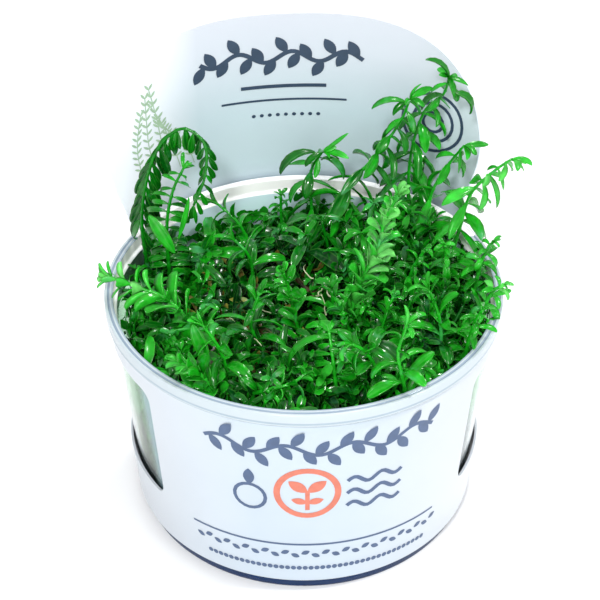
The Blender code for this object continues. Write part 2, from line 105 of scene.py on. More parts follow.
# The sleeve and its tall back card
SHEET_THICKNESS = 0.6
SHARP_ANGLE = math.radians(40.0)
SLEEVE_FIT = 0.5
SLEEVE_BOTTOM = 4.0
SLEEVE_TOP = 60.0
SLEEVE_TURN = math.radians(4.0)
WINDOW_BOTTOM = 19.0
WINDOW_TOP = 54.6
WINDOW_FRONT = math.radians(54.0)
WINDOW_BACK = math.radians(112.0)
WINDOW_CORNER = 3.5
CARD_TOP = 111.0
CARD_HALF_WIDTH = 50.3
CARD_CORNER_POWER = 3.1
CARD_SPREAD = 0.1
CARD_SPREAD_END = 0.45
CARD_FLATTENING = 0.9
CARD_BEHIND_RIM = 2.2
CARD_STEPS = 80
EDGE_STEP = 1.5
FILL_STEP = 3.0
PRINT_STEP = 1.4
PRINT_LIFT = 0.05
INNER_LIFT = 0.12

# The front print: places along the sheet are in degrees from its front, the rest is in mm
FRONT_START = -33.0
FRONT_SPAN = 68.0
# A vine: height on the sheet, its wave's height and length, half width of its stem
FRONT_VINE = (52.0, 1.6, 17.0, 0.55)
FRONT_VINE_LEAVES = 20
SEED_PLACE = -3.0
# Height, radius and half width
SEED_RING = (37.0, 8.0, 0.85)
# Pairs of leaves in the ring: height, lean, length and width
SEED_LEAVES = ((37.4, 38.0, 6.2, 3.2), (33.6, 15.0, 4.4, 2.2))
DROP_PLACE = -20.0
WATER_PLACE = 17.0
# Height of the lowest wave, and the step up to the next
WATER_RISE = (31.5, 4.4)

# The card print: places are in mm along the sheet from the middle of the back
CARD_VINE = (99.0, 1.5, 13.0, 0.6)
CARD_VINE_ENDS = (22.0, -18.0)
CARD_RINGS = (-36.0, 84.0)
# The pale sprigs: foot along the sheet and lean
PALE_SPRIGS = ((41.0, 7.0), (37.0, 1.0), (33.0, -6.0), (30.0, -13.0), (26.0, -20.0))
PALE_FOOT = 72.0
PALE_TOP = 97.0

# The low growth
GROWTH_TOP = 56.5
GROWTH_BACK_DROP = 9.0
GROWTH_BACK_START = 0.45
GROWTH_SWELL = 3.0
GROWTH_SWELL_LENGTH = 16.0
CORE_DROP = 7.0
CORE_RADIUS = 44.5
CORE_STEPS = 64
CORE_RINGS = 22
CORE_ROWS = 12
CORE_BUMP = 3.0
CORE_BUMP_LENGTH = 4.0
# The core's distance from the cup's wall, mean and least
CORE_GAP = (2.6, 0.8)
SPRIG_COUNT = 430
SPRIG_REACH = 46.0
SPRIG_RISE = (6.0, 12.0)
SPRIG_FORMS = ("short", "strap", "strap", "short", "blunt")
SPRIG_TONES = (0.22, 0.34, 0.43, 0.51, 0.6)
TALL_COUNT = 190
TALL_REACH = 40.0
TALL_RISE = (10.0, 17.0)
HOLLOW_PLACE = (-8.0, 0.0)
HOLLOW_WIDTH = (16.0, 22.0)
# How much darker the leaves in the hollow are: painted shade.
HOLLOW_PAINTED_SHADE = 0.27
WALL_LEAVES = 1300
WALL_LEAF_RISE = (15.0, 57.0)
WALL_LEAF_TOP = 60.0
AERIAL_ROOTS = 15
AERIAL_REACH = 36.0
OLD_LEAVES = 130
OLD_REACH = 38.0
GOLDEN_TURN = 2.399963

# The longer shoots that stand close together at the back right
HANGING_COUNT = 60
HANGING_PLACE = (24.0, 24.0)
HANGING_SPREAD = (17.0, 11.0)
HANGING_RISE = (16.0, 30.0)
HANGING_REACH = 41.0

# Leaf forms: length, width, spacing, rise in degrees, droop, outline power and fullness, and bend
LEAF_FORMS = {
    "lance": (10.0, 3.3, 2.7, 25.0, 0.95, 1.1, 0.62, (0.2, 1.3)),
    "strap": (8.0, 2.6, 2.7, 48.0, 0.25, 1.4, 0.42, (0.3, 1.9)),
    "blunt": (5.4, 3.0, 2.5, 48.0, 0.0, 1.4, 0.4, (0.2, 0.8)),
    "plump": (6.8, 3.9, 1.8, 42.0, 0.1, 1.4, 0.36, (0.1, 0.7)),
    "knob": (5.6, 3.6, 1.7, 60.0, 0.0, 1.5, 0.32, (0.3, 0.9)),
    "short": (5.2, 1.9, 1.9, 40.0, 0.3, 1.25, 0.5, (0.4, 2.4)),
    "comb": (7.2, 1.8, 2.5, 12.0, 0.15, 1.15, 0.5, (1.5, 2.1)),
    "hug": (7.5, 2.3, 2.4, -10.0, 2.4, 1.2, 0.5, (0.2, 0.6)),
}
FLAT_FORMS = ("comb", "hug")
LEAF_SKIP = 0.08
LEAF_GLOSS = 0.36

# Shoots: leaf form, turn of the first pair, tone from deep 0 to pale 1, the stem's points
SHOOTS = {
    "left_arch": ("hug", 0, 0.36, [(-41, 17, 54), (-42, 19, 72), (-38, 21, 89), (-31, 21, 97), (-25, 19, 94),
                                    (-25, 16, 86), (-28, 13, 79)]),
    "left_upright": ("comb", 0, 0.44, [(-35, 12, 54), (-35, 12, 73), (-33, 12, 84), (-30, 12, 91)]),
    "left_rim": ("plump", 20, 0.8, [(-24, -14, 56), (-33, -10, 66), (-41, -8, 69), (-48, -5, 70)]),
    "front_left_bud": ("knob", 0, 0.7, [(-20, -34, 55), (-24, -36, 64), (-30, -36, 69)]),
    "front_left_leaf": ("strap", 60, 0.6, [(-18, -28, 55), (-20, -29, 66), (-24, -28, 73)]),
    "front_lying": ("short", 40, 0.55, [(-14, -34, 56), (-9, -40, 63), (-3, -40, 65), (1, -37, 66)]),
    "front_curled": ("comb", 10, 0.62, [(8, -33, 55), (7, -32, 65), (6, -28, 71)]),
    "front_fork": ("strap", 30, 0.62, [(25, -36, 55), (23, -38, 66), (22, -37, 72), (24, -35, 79)]),
    "front_side_branch": ("strap", 80, 0.6, [(19, -31, 58), (15, -34, 69), (11, -35, 73)]),
    "bright_upright": ("knob", 15, 0.86, [(10, -8, 54), (14, -8, 70), (18, -5, 78), (20, -2, 85),
                                          (23, -1, 92)]),
    "back_centre": ("lance", 0, 0.5, [(4, 31, 48), (2, 31, 68), (2, 31, 78), (5, 28, 86)]),
    "long_arching": ("lance", 50, 0.5, [(-1, 22, 52), (7, 26, 67), (13, 29, 76), (20, 30, 85), (25, 30, 94),
                                        (27, 29, 101)]),
    "topmost": ("lance", 20, 0.52, [(29, 33, 48), (28, 35, 76), (31, 36, 92), (36, 36, 98), (37, 33, 105)]),
    "right_tall": ("lance", 70, 0.55, [(34, 24, 52), (33, 25, 72), (37, 26, 82), (41, 23, 91)]),
    "far_right": ("lance", 40, 0.7, [(37, 14, 54), (40, 13, 72), (42, 11, 84), (47, 9, 92), (51, 7, 97)]),
    "right_inner": ("short", 15, 0.6, [(36, 3, 55), (36, 2, 68), (35, -1, 77)]),
    "right_rim": ("short", 55, 0.65, [(43, 3, 55), (45, 2, 70), (47, -1, 78)]),
    "right_over_rim": ("short", 25, 0.75, [(43, -9, 55), (46, -10, 68), (49, -12, 73)]),
    "right_front": ("short", 5, 0.6, [(39, -22, 55), (41, -22, 68), (43, -23, 74)]),
    "centre_bud": ("blunt", 35, 0.6, [(-1, -9, 54), (-3, -8, 65), (-5, -10, 75)]),
    "centre_left": ("strap", 75, 0.5, [(-9, -17, 54), (-13, -17, 64), (-11, -15, 72)]),
    "back_left": ("strap", 45, 0.5, [(-11, 25, 50), (-17, 26, 64), (-23, 29, 69)]),
    "back_small": ("short", 30, 0.5, [(-5, 30, 48), (-6, 30, 64), (-6, 30, 71)]),
    "centre_star": ("strap", 5, 0.5, [(-13, 12, 54), (-14, 9, 66), (-18, 10, 71)]),
    "centre_right": ("short", 65, 0.55, [(27, 0, 55), (27, -1, 68), (30, -2, 76)]),
    "front_right": ("strap", 20, 0.58, [(34, -21, 55), (33, -20, 68), (30, -18, 76)]),
    "centre_thin": ("short", 50, 0.55, [(20, -16, 54), (20, -16, 66), (22, -15, 72)]),
}
# Single leaves that stand out: foot, direction, upper side, length, width, bend, tone
ACCENT_LEAVES = {
    "topmost": [((37, 33, 103), (0.1, 0, 1), (1, 0, 0.1), 10.5, 2.8, 1.7, 0.5),
                ((38, 33, 100), (1, -0.2, 0.3), (0, 0, 1), 9.0, 3.4, 2.3, 0.5),
                ((36, 34, 99), (-0.8, -0.3, 0.4), (0, 0, 1), 8.0, 2.6, 1.9, 0.42)],
    "long_arching": [((26, 29, 100), (-0.9, -0.1, 0.4), (0, 0, 1), 9.5, 2.6, 1.2, 0.6)],
    "back_centre": [((3, 29, 85), (-0.8, -0.3, 0.3), (0, 0, 1), 12.0, 3.2, 1.6, 0.38),
                    ((5, 28, 84), (0.6, -0.4, 0.2), (0, 0, 1), 9.0, 2.8, 1.8, 0.5),
                    ((5, 28, 86), (0.85, 0, 0.5), (-0.5, 0, 0.85), 8.5, 1.7, -0.3, 0.8)],
    "front_curled": [((8, -34, 62), (1, -0.3, 0.0), (0, 0.2, -1), 14.0, 3.6, 2.9, 0.6),
                     ((6, -29, 70), (-1, -0.3, 0.4), (0, 0, 1), 14.0, 2.6, 1.9, 0.66),
                     ((6, -28, 71), (1, -0.2, 0.3), (0, 0, 1), 9.0, 2.4, 1.7, 0.6)],
    "front_left_leaf": [((-23, -31, 64), (-0.3, 0.1, 1), (0.3, -1, 0.1), 10.5, 3.3, 0.3, 0.68)],
    "left_upright": [((-33, 8, 68), (-6, 1, 10.5), (0.3, -1, 0.2), 12.0, 3.4, 0.3, 0.7),
                     ((-32, 10, 71), (3.5, 1, 12), (0.3, -1, 0.1), 12.0, 1.6, 0.2, 0.78)],
    "far_right": [((46, 9, 91), (0.5, -0.3, -0.8), (0.8, 0, 0.5), 9.0, 3.0, 0.6, 0.88)],
}
STEM_STEP = 0.6
PLAIN_STEP = 1.2
STEM_WIDTH = 1.1
STEM_SIDES = 8
THIN_SIDES = 5

# Rows along a leaf, as shares of its length
FINE_ROWS = (0.0, 0.1, 0.25, 0.42, 0.6, 0.76, 0.89, 0.97, 1.0)
PLAIN_ROWS = (0.0, 0.22, 0.5, 0.78, 0.94, 1.0)

# Area lights: name, place in metres, size and power
LIGHTS = [
    ("key", (-0.12, -0.6, 0.68), 0.1, 3.8),
    ("front", (0.05, -0.9, 0.4), 0.5, 2.6),
    ("side", (0.5, -0.1, 0.7), 0.1, 2.4),
    ("back", (0.12, 0.42, 0.85), 0.12, 2.4),
]
LIGHT_AIM = (0.0, 0.0, 0.06)
WORLD_LIGHT = 0.74
# The floor's width in metres
FLOOR_SIZE = 6.0


def ease(share):
    share = min(1.0, max(0.0, share))
    return share * share * (3.0 - 2.0 * share)


def cup_outside(z):
    return CUP_FOOT_RADIUS + WALL_SLOPE * z


def cup_inside(z):
    return cup_outside(z) - CUP_WALL


def polar(turn, reach):
    return math.cos(turn) * reach, math.sin(turn) * reach


def wrapped(angle):
    """The same angle between minus half a turn and half a turn."""
    return (angle + math.pi) % math.tau - math.pi


def growth_height(x, y):
    swell = noise.noise(Vector((x, y, 0.0)) / GROWTH_SWELL_LENGTH) * GROWTH_SWELL
    back = (y / cup_inside(CUP_HEIGHT) - GROWTH_BACK_START) / (1.0 - GROWTH_BACK_START)
    return GROWTH_TOP + swell - GROWTH_BACK_DROP * min(1.0, max(0.0, back))


# Materials


def new_material(name):
    material = bpy.data.materials.new(name)
    material.use_nodes = True
    tree = material.node_tree
    return material, tree, tree.nodes["Principled BSDF"]


def fill(tree, node, values):
    """Each socket, by name or number, linked to another socket or given its number or colour."""
    for name, value in values.items():
        socket = node.inputs[name]
        if isinstance(value, bpy.types.NodeSocket):
            tree.links.new(value, socket)
        else:
            socket.default_value = (*value, 1.0) if socket.type == "RGBA" else value


def add_node(tree, kind, values=None, **settings):
    node = tree.nodes.new(kind)
    for key, value in settings.items():
        setattr(node, key, value)
    fill(tree, node, values or {})
    return node


def ramp(tree, source, stops):
    """Colours along a value, as (place, colour) stops."""
    node = add_node(tree, "ShaderNodeValToRGB", {"Fac": source})
    elements = node.color_ramp.elements
    while len(elements) < len(stops):
        elements.new(0.5)
    for element, (place, colour) in zip(elements, stops):
        element.position = place
        element.color = (*colour, 1.0)
    return node.outputs["Color"]


def object_place(tree):
    return tree.nodes.new("ShaderNodeTexCoord").outputs["Object"]


def noise_value(tree, scale, detail=3.0):
    values = {"Vector": object_place(tree), "Scale": scale, "Detail": detail}
    return add_node(tree, "ShaderNodeTexNoise", values).outputs["Fac"]


def mixed(tree, factor, first, second, blend="MIX"):
    node = add_node(tree, "ShaderNodeMix", data_type="RGBA", blend_type=blend)
    fill(tree, node, {0: factor, 6: first, 7: second})
    return node.outputs[2]


def mapped(tree, value, low, high, to_low, to_high):
    values = {"Value": value, "From Min": low, "From Max": high, "To Min": to_low, "To Max": to_high}
    return add_node(tree, "ShaderNodeMapRange", values).outputs["Result"]


def bumped(tree, shader, height, strength, distance):
    values = {"Height": height, "Strength": strength, "Distance": distance}
    fill(tree, shader, {"Normal": add_node(tree, "ShaderNodeBump", values).outputs["Normal"]})


def leaf_material(name, stops, rough):
    """Leaves: tone from their own attribute, mottling, paler margins and a soft wet gloss."""
    material, tree, shader = new_material(name)
    attribute = add_node(tree, "ShaderNodeAttribute", attribute_name="leaf")
    parts = add_node(tree, "ShaderNodeSeparateColor", {"Color": attribute.outputs["Color"]})
    tone, across = parts.outputs["Red"], parts.outputs["Blue"]
    mottle = mapped(tree, noise_value(tree, 420.0), 0.35, 0.7, 0.72, 1.18)
    grey = add_node(tree, "ShaderNodeCombineColor", {"Red": mottle, "Green": mottle, "Blue": mottle})
    colour = mixed(tree, 1.0, ramp(tree, tone, stops), grey.outputs["Color"], "MULTIPLY")
    bloom = mapped(tree, noise_value(tree, 170.0), 0.6, 0.76, 0.0, 0.5)
    colour = mixed(tree, bloom, colour, (0.1, 0.42, 0.2))
    colour = mixed(tree, mapped(tree, across, 0.75, 1.0, 0.0, 0.3), colour, (0.12, 0.52, 0.06))
    colour = mixed(tree, mapped(tree, across, 0.0, 0.16, 0.15, 0.0), colour, (0.1, 0.45, 0.06))
    shine = mapped(tree, noise_value(tree, 260.0), 0.3, 0.7, rough - 0.06, rough + 0.12)
    fill(tree, shader, {"Base Color": colour, "Roughness": shine, "Specular IOR Level": LEAF_GLOSS})
    bumped(tree, shader, noise_value(tree, 500.0, 1.0), 0.15, 0.0001)
    return material


def fresh_leaf():
    stops = [(0.0, (0.001, 0.012, 0.003)), (0.3, (0.001, 0.06, 0.006)), (0.55, (0.002, 0.2, 0.004)),
             (0.75, (0.01, 0.37, 0.01)), (0.9, (0.04, 0.5, 0.04)), (1.0, (0.14, 0.6, 0.12))]
    return leaf_material("fresh_leaf", stops, 0.14)


def old_leaf():
    stops = [(0.88, (0.02, 0.008, 0.004)), (0.94, (0.06, 0.028, 0.01)), (0.97, (0.14, 0.1, 0.015)),
             (1.0, (0.3, 0.3, 0.05))]
    return leaf_material("old_leaf", stops, 0.3)


def mottled_material(name, noise_size, stops, rough, bump=None):
    """One colour ramp over noise of a given scale and detail, and a bump where one is given."""
    material, tree, shader = new_material(name)
    colour = ramp(tree, noise_value(tree, *noise_size), stops)
    fill(tree, shader, {"Base Color": colour, "Roughness": rough})
    if bump:
        bumped(tree, shader, noise_value(tree, *bump[0]), *bump[1])
    return material


def core_material():
    # The near black greens are painted shade in the dense growth; the brown is old growth.
    stops = [(0.3, (0.002, 0.01, 0.003)), (0.5, (0.006, 0.05, 0.01)), (0.7, (0.03, 0.14, 0.02)),
             (0.85, (0.12, 0.12, 0.04))]
    return mottled_material("deep_growth_painted_shade", (240.0, 5.0), stops, 0.35, ((200.0, 6.0), (1.0, 0.002)))


def clear_material(name, colour, rough, ior, clear=1.0):
    """Clear plastic or gel, with faint streaks in its gloss."""
    material, tree, shader = new_material(name)
    streaks = mapped(tree, noise_value(tree, 30.0), 0.4, 0.75, rough, rough + 0.12)
    fill(tree, shader, {"Base Color": colour, "Transmission Weight": clear, "IOR": ior, "Roughness": streaks})
    bumped(tree, shader, noise_value(tree, 60.0), 0.05, 0.0005)
    return material


def wall_material():
    """The damp clear wall: upright streaks of dew, their pale blue partly painted reflection, green high up,
    a painted reflection at the front as a pale milky veil, and dark low down.
    """
    material, tree, shader = new_material("clear_plastic")
    place = object_place(tree)
    stretch = add_node(tree, "ShaderNodeMapping", {"Vector": place, "Scale": (120.0, 120.0, 12.0)})
    streak = add_node(tree, "ShaderNodeTexNoise", {"Vector": stretch.outputs["Vector"], "Scale": 1.0})
    axes = add_node(tree, "ShaderNodeSeparateXYZ", {"Vector": place})
    depth, height = axes.outputs["Y"], axes.outputs["Z"]
    # The streaks stand for dew; their pale blue is partly painted reflection.
    tint = ramp(tree, streak.outputs["Fac"],
                [(0.35, (0.6, 0.72, 0.6)), (0.5, (0.68, 0.74, 0.72)), (0.7, (0.75, 0.86, 0.92))])
    tint = mixed(tree, mapped(tree, height, 0.034, 0.042, 0.0, 0.7), tint, (0.45, 0.8, 0.5))
    # Painted reflection: towards the front the wall turns pale blue here, and less clear below.
    tint = mixed(tree, mapped(tree, depth, *PAINTED_REFLECTION_FRONT, 1.0, 0.0), tint, (0.5, 0.68, 0.74))
    tint = mixed(tree, mapped(tree, height, 0.017, 0.024, 1.0, 0.0), tint, (0.12, 0.2, 0.25))
    clear = mapped(tree, depth, *PAINTED_REFLECTION_FRONT, 0.6, 0.96)
    fill(tree, shader, {"Base Color": tint, "Transmission Weight": clear, "IOR": WALL_IOR, "Roughness": 0.05})
    bumped(tree, shader, noise_value(tree, 60.0), 0.05, 0.0005)
    haze = add_node(tree, "ShaderNodeVolumeAbsorption", {"Color": WALL_HAZE, "Density": WALL_HAZE_DENSITY})
    fill(tree, tree.nodes["Material Output"], {"Volume": haze.outputs["Volume"]})
    return material


def card_material():
    """Coated card: pale blue grey, lighter towards the top and the edges, with a fine tooth. The paler edges
    of the card, and the sleeve band below it paler at its sides than in its middle, are painted light.
    """
    material, tree, shader = new_material("coated_card")
    axes = add_node(tree, "ShaderNodeSeparateXYZ", {"Vector": object_place(tree)})
    across, height = axes.outputs["X"], axes.outputs["Z"]
    card = ramp(tree, mapped(tree, height, 0.055, 0.111, 0.0, 1.0),
                [(0.2, (0.5, 0.63, 0.68)), (0.5, (0.51, 0.63, 0.69)), (0.8, (0.56, 0.61, 0.68)),
                 (1.0, (0.54, 0.57, 0.64))])
    # Painted light: the card's left edge turns nearly white and its right edge paler.
    card = mixed(tree, mapped(tree, across, -0.028, -0.042, 0.0, 0.9), card, (0.86, 0.88, 0.95))
    card = mixed(tree, mapped(tree, across, 0.028, 0.05, 0.0, 0.6), card, (0.6, 0.66, 0.71))
    # Painted light and shade: the sleeve band below the card is darker in its middle and paler towards its
    # sides.
    from_middle = add_node(tree, "ShaderNodeMath", {0: across}, operation="ABSOLUTE")
    sides = mapped(tree, from_middle.outputs[0], 0.012, 0.036, 0.0, 1.0)
    band = mixed(tree, sides, (0.43, 0.5, 0.57), (0.5, 0.54, 0.59))
    card = mixed(tree, mapped(tree, height, 0.058, 0.068, 1.0, 0.0), card, band)
    cloud = mapped(tree, noise_value(tree, 35.0), 0.35, 0.65, 0.0, 0.1)
    fill(tree, shader, {"Base Color": mixed(tree, cloud, card, (0.7, 0.77, 0.81)), "Roughness": 0.32,
                        "Coat Weight": 0.25, "Coat Roughness": 0.15})
    bumped(tree, shader, noise_value(tree, 2500.0, 2.0), 0.06, 0.0001)
    return material


def ink_material(name, colour):
    """Printing ink with slight unevenness."""
    deep = tuple(channel * 0.85 for channel in colour)
    return mottled_material(name, (500.0, 4.0), [(0.35, deep), (0.65, colour)], 0.4)


def root_material():
    stops = [(0.3, (0.42, 0.5, 0.26)), (0.7, (0.72, 0.78, 0.5))]
    return mottled_material("pale_root", (300.0,), stops, 0.45)


def floor_material():
    stops = [(0.3, (0.93, 0.94, 0.95)), (0.7, (0.95, 0.955, 0.96))]
    return mottled_material("pale_floor", (3.0,), stops, 0.6)


# Mesh helpers


def new_object(name, data):
    obj = bpy.data.objects.new(name, data)
    bpy.context.scene.collection.objects.link(obj)
    return obj


def new_piece(name, mesh, material):
    obj = new_object(name, mesh)
    mesh.materials.append(material)
    mesh.shade_smooth()
    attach(obj, "root")
    return obj


def mesh_from(name, points, faces):
    mesh = bpy.data.meshes.new(name)
    mesh.from_pydata((np.asarray(points) * MM).tolist(), [], faces)
    mesh.update()
    return mesh


def grid_faces(rows, width, first=0, ring=False, loop=False):
    """Quads between rows of points. A ring joins each row's ends, and a loop the last row to the first."""
    faces = []
    for row in range(rows if loop else rows - 1):
        low, high = first + row * width, first + (row + 1) % rows * width
        for column in range(width if ring else width - 1):
            after = (column + 1) % width
            faces.append((low + column, low + after, high + after, high + column))
    return faces


def write_clean(bm, mesh, distance):
    """Merge points closer than a distance, turn the faces outwards and write the mesh."""
    bmesh.ops.remove_doubles(bm, verts=bm.verts, dist=distance * MM)
    bmesh.ops.recalc_face_normals(bm, faces=bm.faces)
    bm.to_mesh(mesh)
    bm.free()


def cleaned(mesh, distance):
    bm = bmesh.new()
    bm.from_mesh(mesh)
    write_clean(bm, mesh, distance)
    return mesh


def turned_mesh(name, profile, steps):
    """A profile of (radius, height) points turned about the axis, its ends on the axis."""
    bm = bmesh.new()
    for radius, z in profile:
        bm.verts.new((radius * MM, 0.0, z * MM))
    bm.verts.ensure_lookup_table()
    edges = [bm.edges.new((bm.verts[i], bm.verts[i + 1])) for i in range(len(profile) - 1)]
    bmesh.ops.spin(bm, geom=bm.verts[:] + edges, cent=(0, 0, 0), axis=(0, 0, 1), angle=math.tau,
                   steps=steps, use_merge=True)
    mesh = bpy.data.meshes.new(name)
    write_clean(bm, mesh, 0.001)
    return mesh


def rounded(profile, radius, steps=4):
    """The profile with each inner corner cut into a small arc."""
    points = [Vector(p) for p in profile]
    result = [points[0]]
    for before, corner, after in zip(points, points[1:], points[2:]):
        reach = min(radius, (corner - before).length * 0.45, (after - corner).length * 0.45)
        start = corner + (before - corner).normalized() * reach
        end = corner + (after - corner).normalized() * reach
        for i in range(steps + 1):
            t = i / steps
            result.append(start.lerp(corner, t).lerp(corner.lerp(end, t), t))
    result.append(points[-1])
    return [tuple(p) for p in result]


# The cup, gel and floor


def cup_part(face):
    """The number of a face's material."""
    height = face.center.z / MM
    shoulder = CUP_HEIGHT - RIM_HEIGHT
    slanted = 0.2 < abs(face.normal.z) < 0.98
    reach = math.hypot(face.center.x, face.center.y) / MM
    back = face.center.y / MM > CUP_BACK
    # Painted light: the back of the rim, its top and bore, all plain white.
    if back and height > shoulder - 0.3 and reach < RIM_RADIUS - 0.4:
        return BORE
    # Painted shade: the groove round the rim's top.
    if height > CUP_HEIGHT - 0.6 and abs(reach - RIM_LINE) < RIM_LINE_HALF + 0.1:
        return GROOVE
    top_edge = height > CUP_HEIGHT - 0.8 and reach < RIM_BORE + 0.5
    lower_edge = abs(height - shoulder) < 0.5 and slanted and reach > RIM_BORE + 0.3
    foot_line = reach > RIM_RADIUS - 0.1 and RIM_FOOT_LINE[0] < height - shoulder < RIM_FOOT_LINE[1]
    if top_edge or lower_edge or foot_line:
        return SHADE
    # Painted light: the bore in plain white.
    if reach < RIM_BORE + 0.3 and height > shoulder - 0.3:
        return BORE
    # Painted light: the back of the wall, pale and nearly opaque.
    if back and FOOT_HEIGHT < height < shoulder:
        return BACK
    if height > shoulder - 0.2:
        return RIM
    return FOOT if height < FOOT_HEIGHT else WALL


def build_cup():
    shoulder = CUP_HEIGHT - RIM_HEIGHT
    profile = [
        (0.0, CUP_FLOOR), (cup_inside(CUP_FLOOR), CUP_FLOOR), (cup_inside(FOOT_HEIGHT), FOOT_HEIGHT),
        (cup_inside(shoulder), shoulder), (RIM_BORE, shoulder + 0.5), (RIM_BORE, CUP_HEIGHT),
        (RIM_BORE + 0.5, CUP_HEIGHT), (RIM_LINE - RIM_LINE_HALF, CUP_HEIGHT),
        (RIM_LINE, CUP_HEIGHT - RIM_LINE_HALF), (RIM_LINE + RIM_LINE_HALF, CUP_HEIGHT),
        (RIM_RADIUS, CUP_HEIGHT), (RIM_RADIUS, shoulder + RIM_FOOT_LINE[1]), (RIM_RADIUS, shoulder),
        (cup_outside(shoulder), shoulder), (cup_outside(FOOT_HEIGHT), FOOT_HEIGHT), (cup_outside(0.0), 0.0),
        (0.0, 0.0),
    ]
    mesh = turned_mesh("clear_cup", rounded(profile, CUP_EDGE), CUP_STEPS)
    cup = new_piece("clear_cup", mesh, wall_material())
    for look in CUP_LOOKS:
        mesh.materials.append(clear_material(*look))
    for face in mesh.polygons:
        face.material_index = cup_part(face)
    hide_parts("cup")


def build_gel(material):
    low = CUP_FLOOR + GEL_CLEARANCE
    edge = cup_inside(GEL_TOP) - GEL_CLEARANCE
    profile = [(0.0, GEL_TOP)] + [(edge - inward, GEL_TOP + rise) for inward, rise in GEL_CLIMB]
    profile += [(cup_inside(low) - GEL_CLEARANCE, low), (0.0, low)]
    mesh = turned_mesh("clear_gel", rounded(profile, GEL_EDGE), GEL_STEPS)
    gel = new_piece("clear_gel", mesh, material)
    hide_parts("nutrient_gel")


def scattered(reach):
    """A random place within a distance of the axis."""
    turn = random.uniform(0.0, math.tau)
    return polar(turn, math.sqrt(random.random()) * reach)


def sideways(reach, rise):
    """A vector drawn at random to the sides, with a given rise."""
    return Vector((random.uniform(-reach, reach), random.uniform(-reach, reach), rise))


def any_way(low, high):
    """A random direction, its rise drawn between two numbers before it is made one long."""
    direction = sideways(1.0, 0.0)
    direction.z = random.uniform(low, high)
    return direction.normalized()


def wandered(heading, wander):
    """The heading, turned a little at random."""
    return (heading + Vector([random.uniform(-wander, wander) for _ in range(3)])).normalized()


def build_roots(material):
    """Thin pale roots that wander down through the gel."""
    random.seed(SEED)
    tubes = Tubes(THIN_SIDES)
    for _ in range(ROOT_COUNT):
        path = [Vector((*scattered(ROOT_REACH), GEL_TOP + ROOT_START))]
        heading = sideways(1.0, -1.2).normalized()
        while path[-1].z > CUP_FLOOR + 1.0 and len(path) < ROOT_POINTS:
            heading = wandered(heading, 0.5)
            heading.z = -abs(heading.z) * 0.7 - 0.2
            ahead = path[-1] + heading * ROOT_STRIDE
            if math.hypot(ahead.x, ahead.y) > ROOT_LIMIT:
                break
            path.append(ahead)
        if len(path) > 3 and path[-1].z > CUP_FLOOR + 0.6:
            tubes.add(path, [ROOT_WIDTH / 2] * len(path))
    new_piece("roots", tubes.mesh("roots"), material)


def build_floor(material):
    bpy.ops.mesh.primitive_grid_add(x_subdivisions=8, y_subdivisions=8, size=FLOOR_SIZE)
    floor = bpy.context.object
    floor.name = "floor"
    floor.data.materials.append(material)


# The card sheet


def sleeve_inside(z):
    return cup_outside(z) + SLEEVE_FIT


def sheet_radius():
    return sleeve_inside(SLEEVE_TOP) + CARD_BEHIND_RIM


def stand_off(angle, z):
    rise = ease((z - SLEEVE_BOTTOM) / (SLEEVE_TOP - SLEEVE_BOTTOM))
    window_edge = math.pi - WINDOW_BACK
    card_edge = CARD_HALF_WIDTH / sheet_radius()
    return CARD_BEHIND_RIM * rise * ease((window_edge - abs(angle)) / (window_edge - card_edge))


def sheet_point(s, z):
    """The sheet's inner face, a distance along it from the middle of the back, at a height."""
    if z <= SLEEVE_TOP:
        angle = wrapped(s / sheet_radius())
        radius = sleeve_inside(z) + stand_off(angle, z)
        depth = radius * math.cos(angle)
    else:
        spread = 1.0 + CARD_SPREAD * ease((z - SLEEVE_TOP) / (CARD_TOP - SLEEVE_TOP) / CARD_SPREAD_END)
        radius = sheet_radius() + CARD_FLATTENING * (z - SLEEVE_TOP)
        angle = s * spread / radius
        depth = sheet_radius() + WALL_SLOPE * (z - SLEEVE_TOP) - radius * (1.0 - math.cos(angle))
    across = radius * math.sin(angle)
    cosine, sine = math.cos(SLEEVE_TURN), math.sin(SLEEVE_TURN)
    return Vector((-across * cosine - depth * sine, -across * sine + depth * cosine, z))


def sheet_normal(s, z):
    """The sheet's outward direction."""
    low = min(z, CARD_TOP - 0.1)
    along = sheet_point(s + 0.05, low) - sheet_point(s - 0.05, low)
    up = sheet_point(s, low + 0.05) - sheet_point(s, low - 0.05)
    normal = up.cross(along).normalized()
    middle = sheet_point(s, low)
    return normal if normal.dot(Vector((middle.x, middle.y, 0.0))) > 0 else -normal


def line_points(start, end, step):
    count = max(1, math.ceil(math.dist(start, end) / step))
    return [(start[0] + (end[0] - start[0]) * i / count, start[1] + (end[1] - start[1]) * i / count)
            for i in range(count)]


def outline_points(corners, step):
    result = []
    for start, end in zip(corners, corners[1:] + corners[:1]):
        result += line_points(start, end, step)
    return result


def rounded_box(left, right, low, high, radius):
    """Corner points of a rounded rectangle."""
    points = []
    for cx, cz, first in ((right - radius, high - radius, 0), (left + radius, high - radius, 90),
                          (left + radius, low + radius, 180), (right - radius, low + radius, 270)):
        for i in range(7):
            x, z = polar(math.radians(first + 15 * i), radius)
            points.append((cx + x, cz + z))
    return points


def sheet_outline():
    half_round = math.pi * sheet_radius()
    card = []
    for i in range(CARD_STEPS + 1):
        across = -math.cos(math.pi * i / CARD_STEPS)
        rise = max(0.0, 1.0 - abs(across) ** CARD_CORNER_POWER) ** (1.0 / CARD_CORNER_POWER)
        card.append((-across * CARD_HALF_WIDTH, SLEEVE_TOP + rise * (CARD_TOP - SLEEVE_TOP)))
    return [(-half_round, SLEEVE_BOTTOM), (half_round, SLEEVE_BOTTOM), (half_round, SLEEVE_TOP), *card,
            (-half_round, SLEEVE_TOP)]


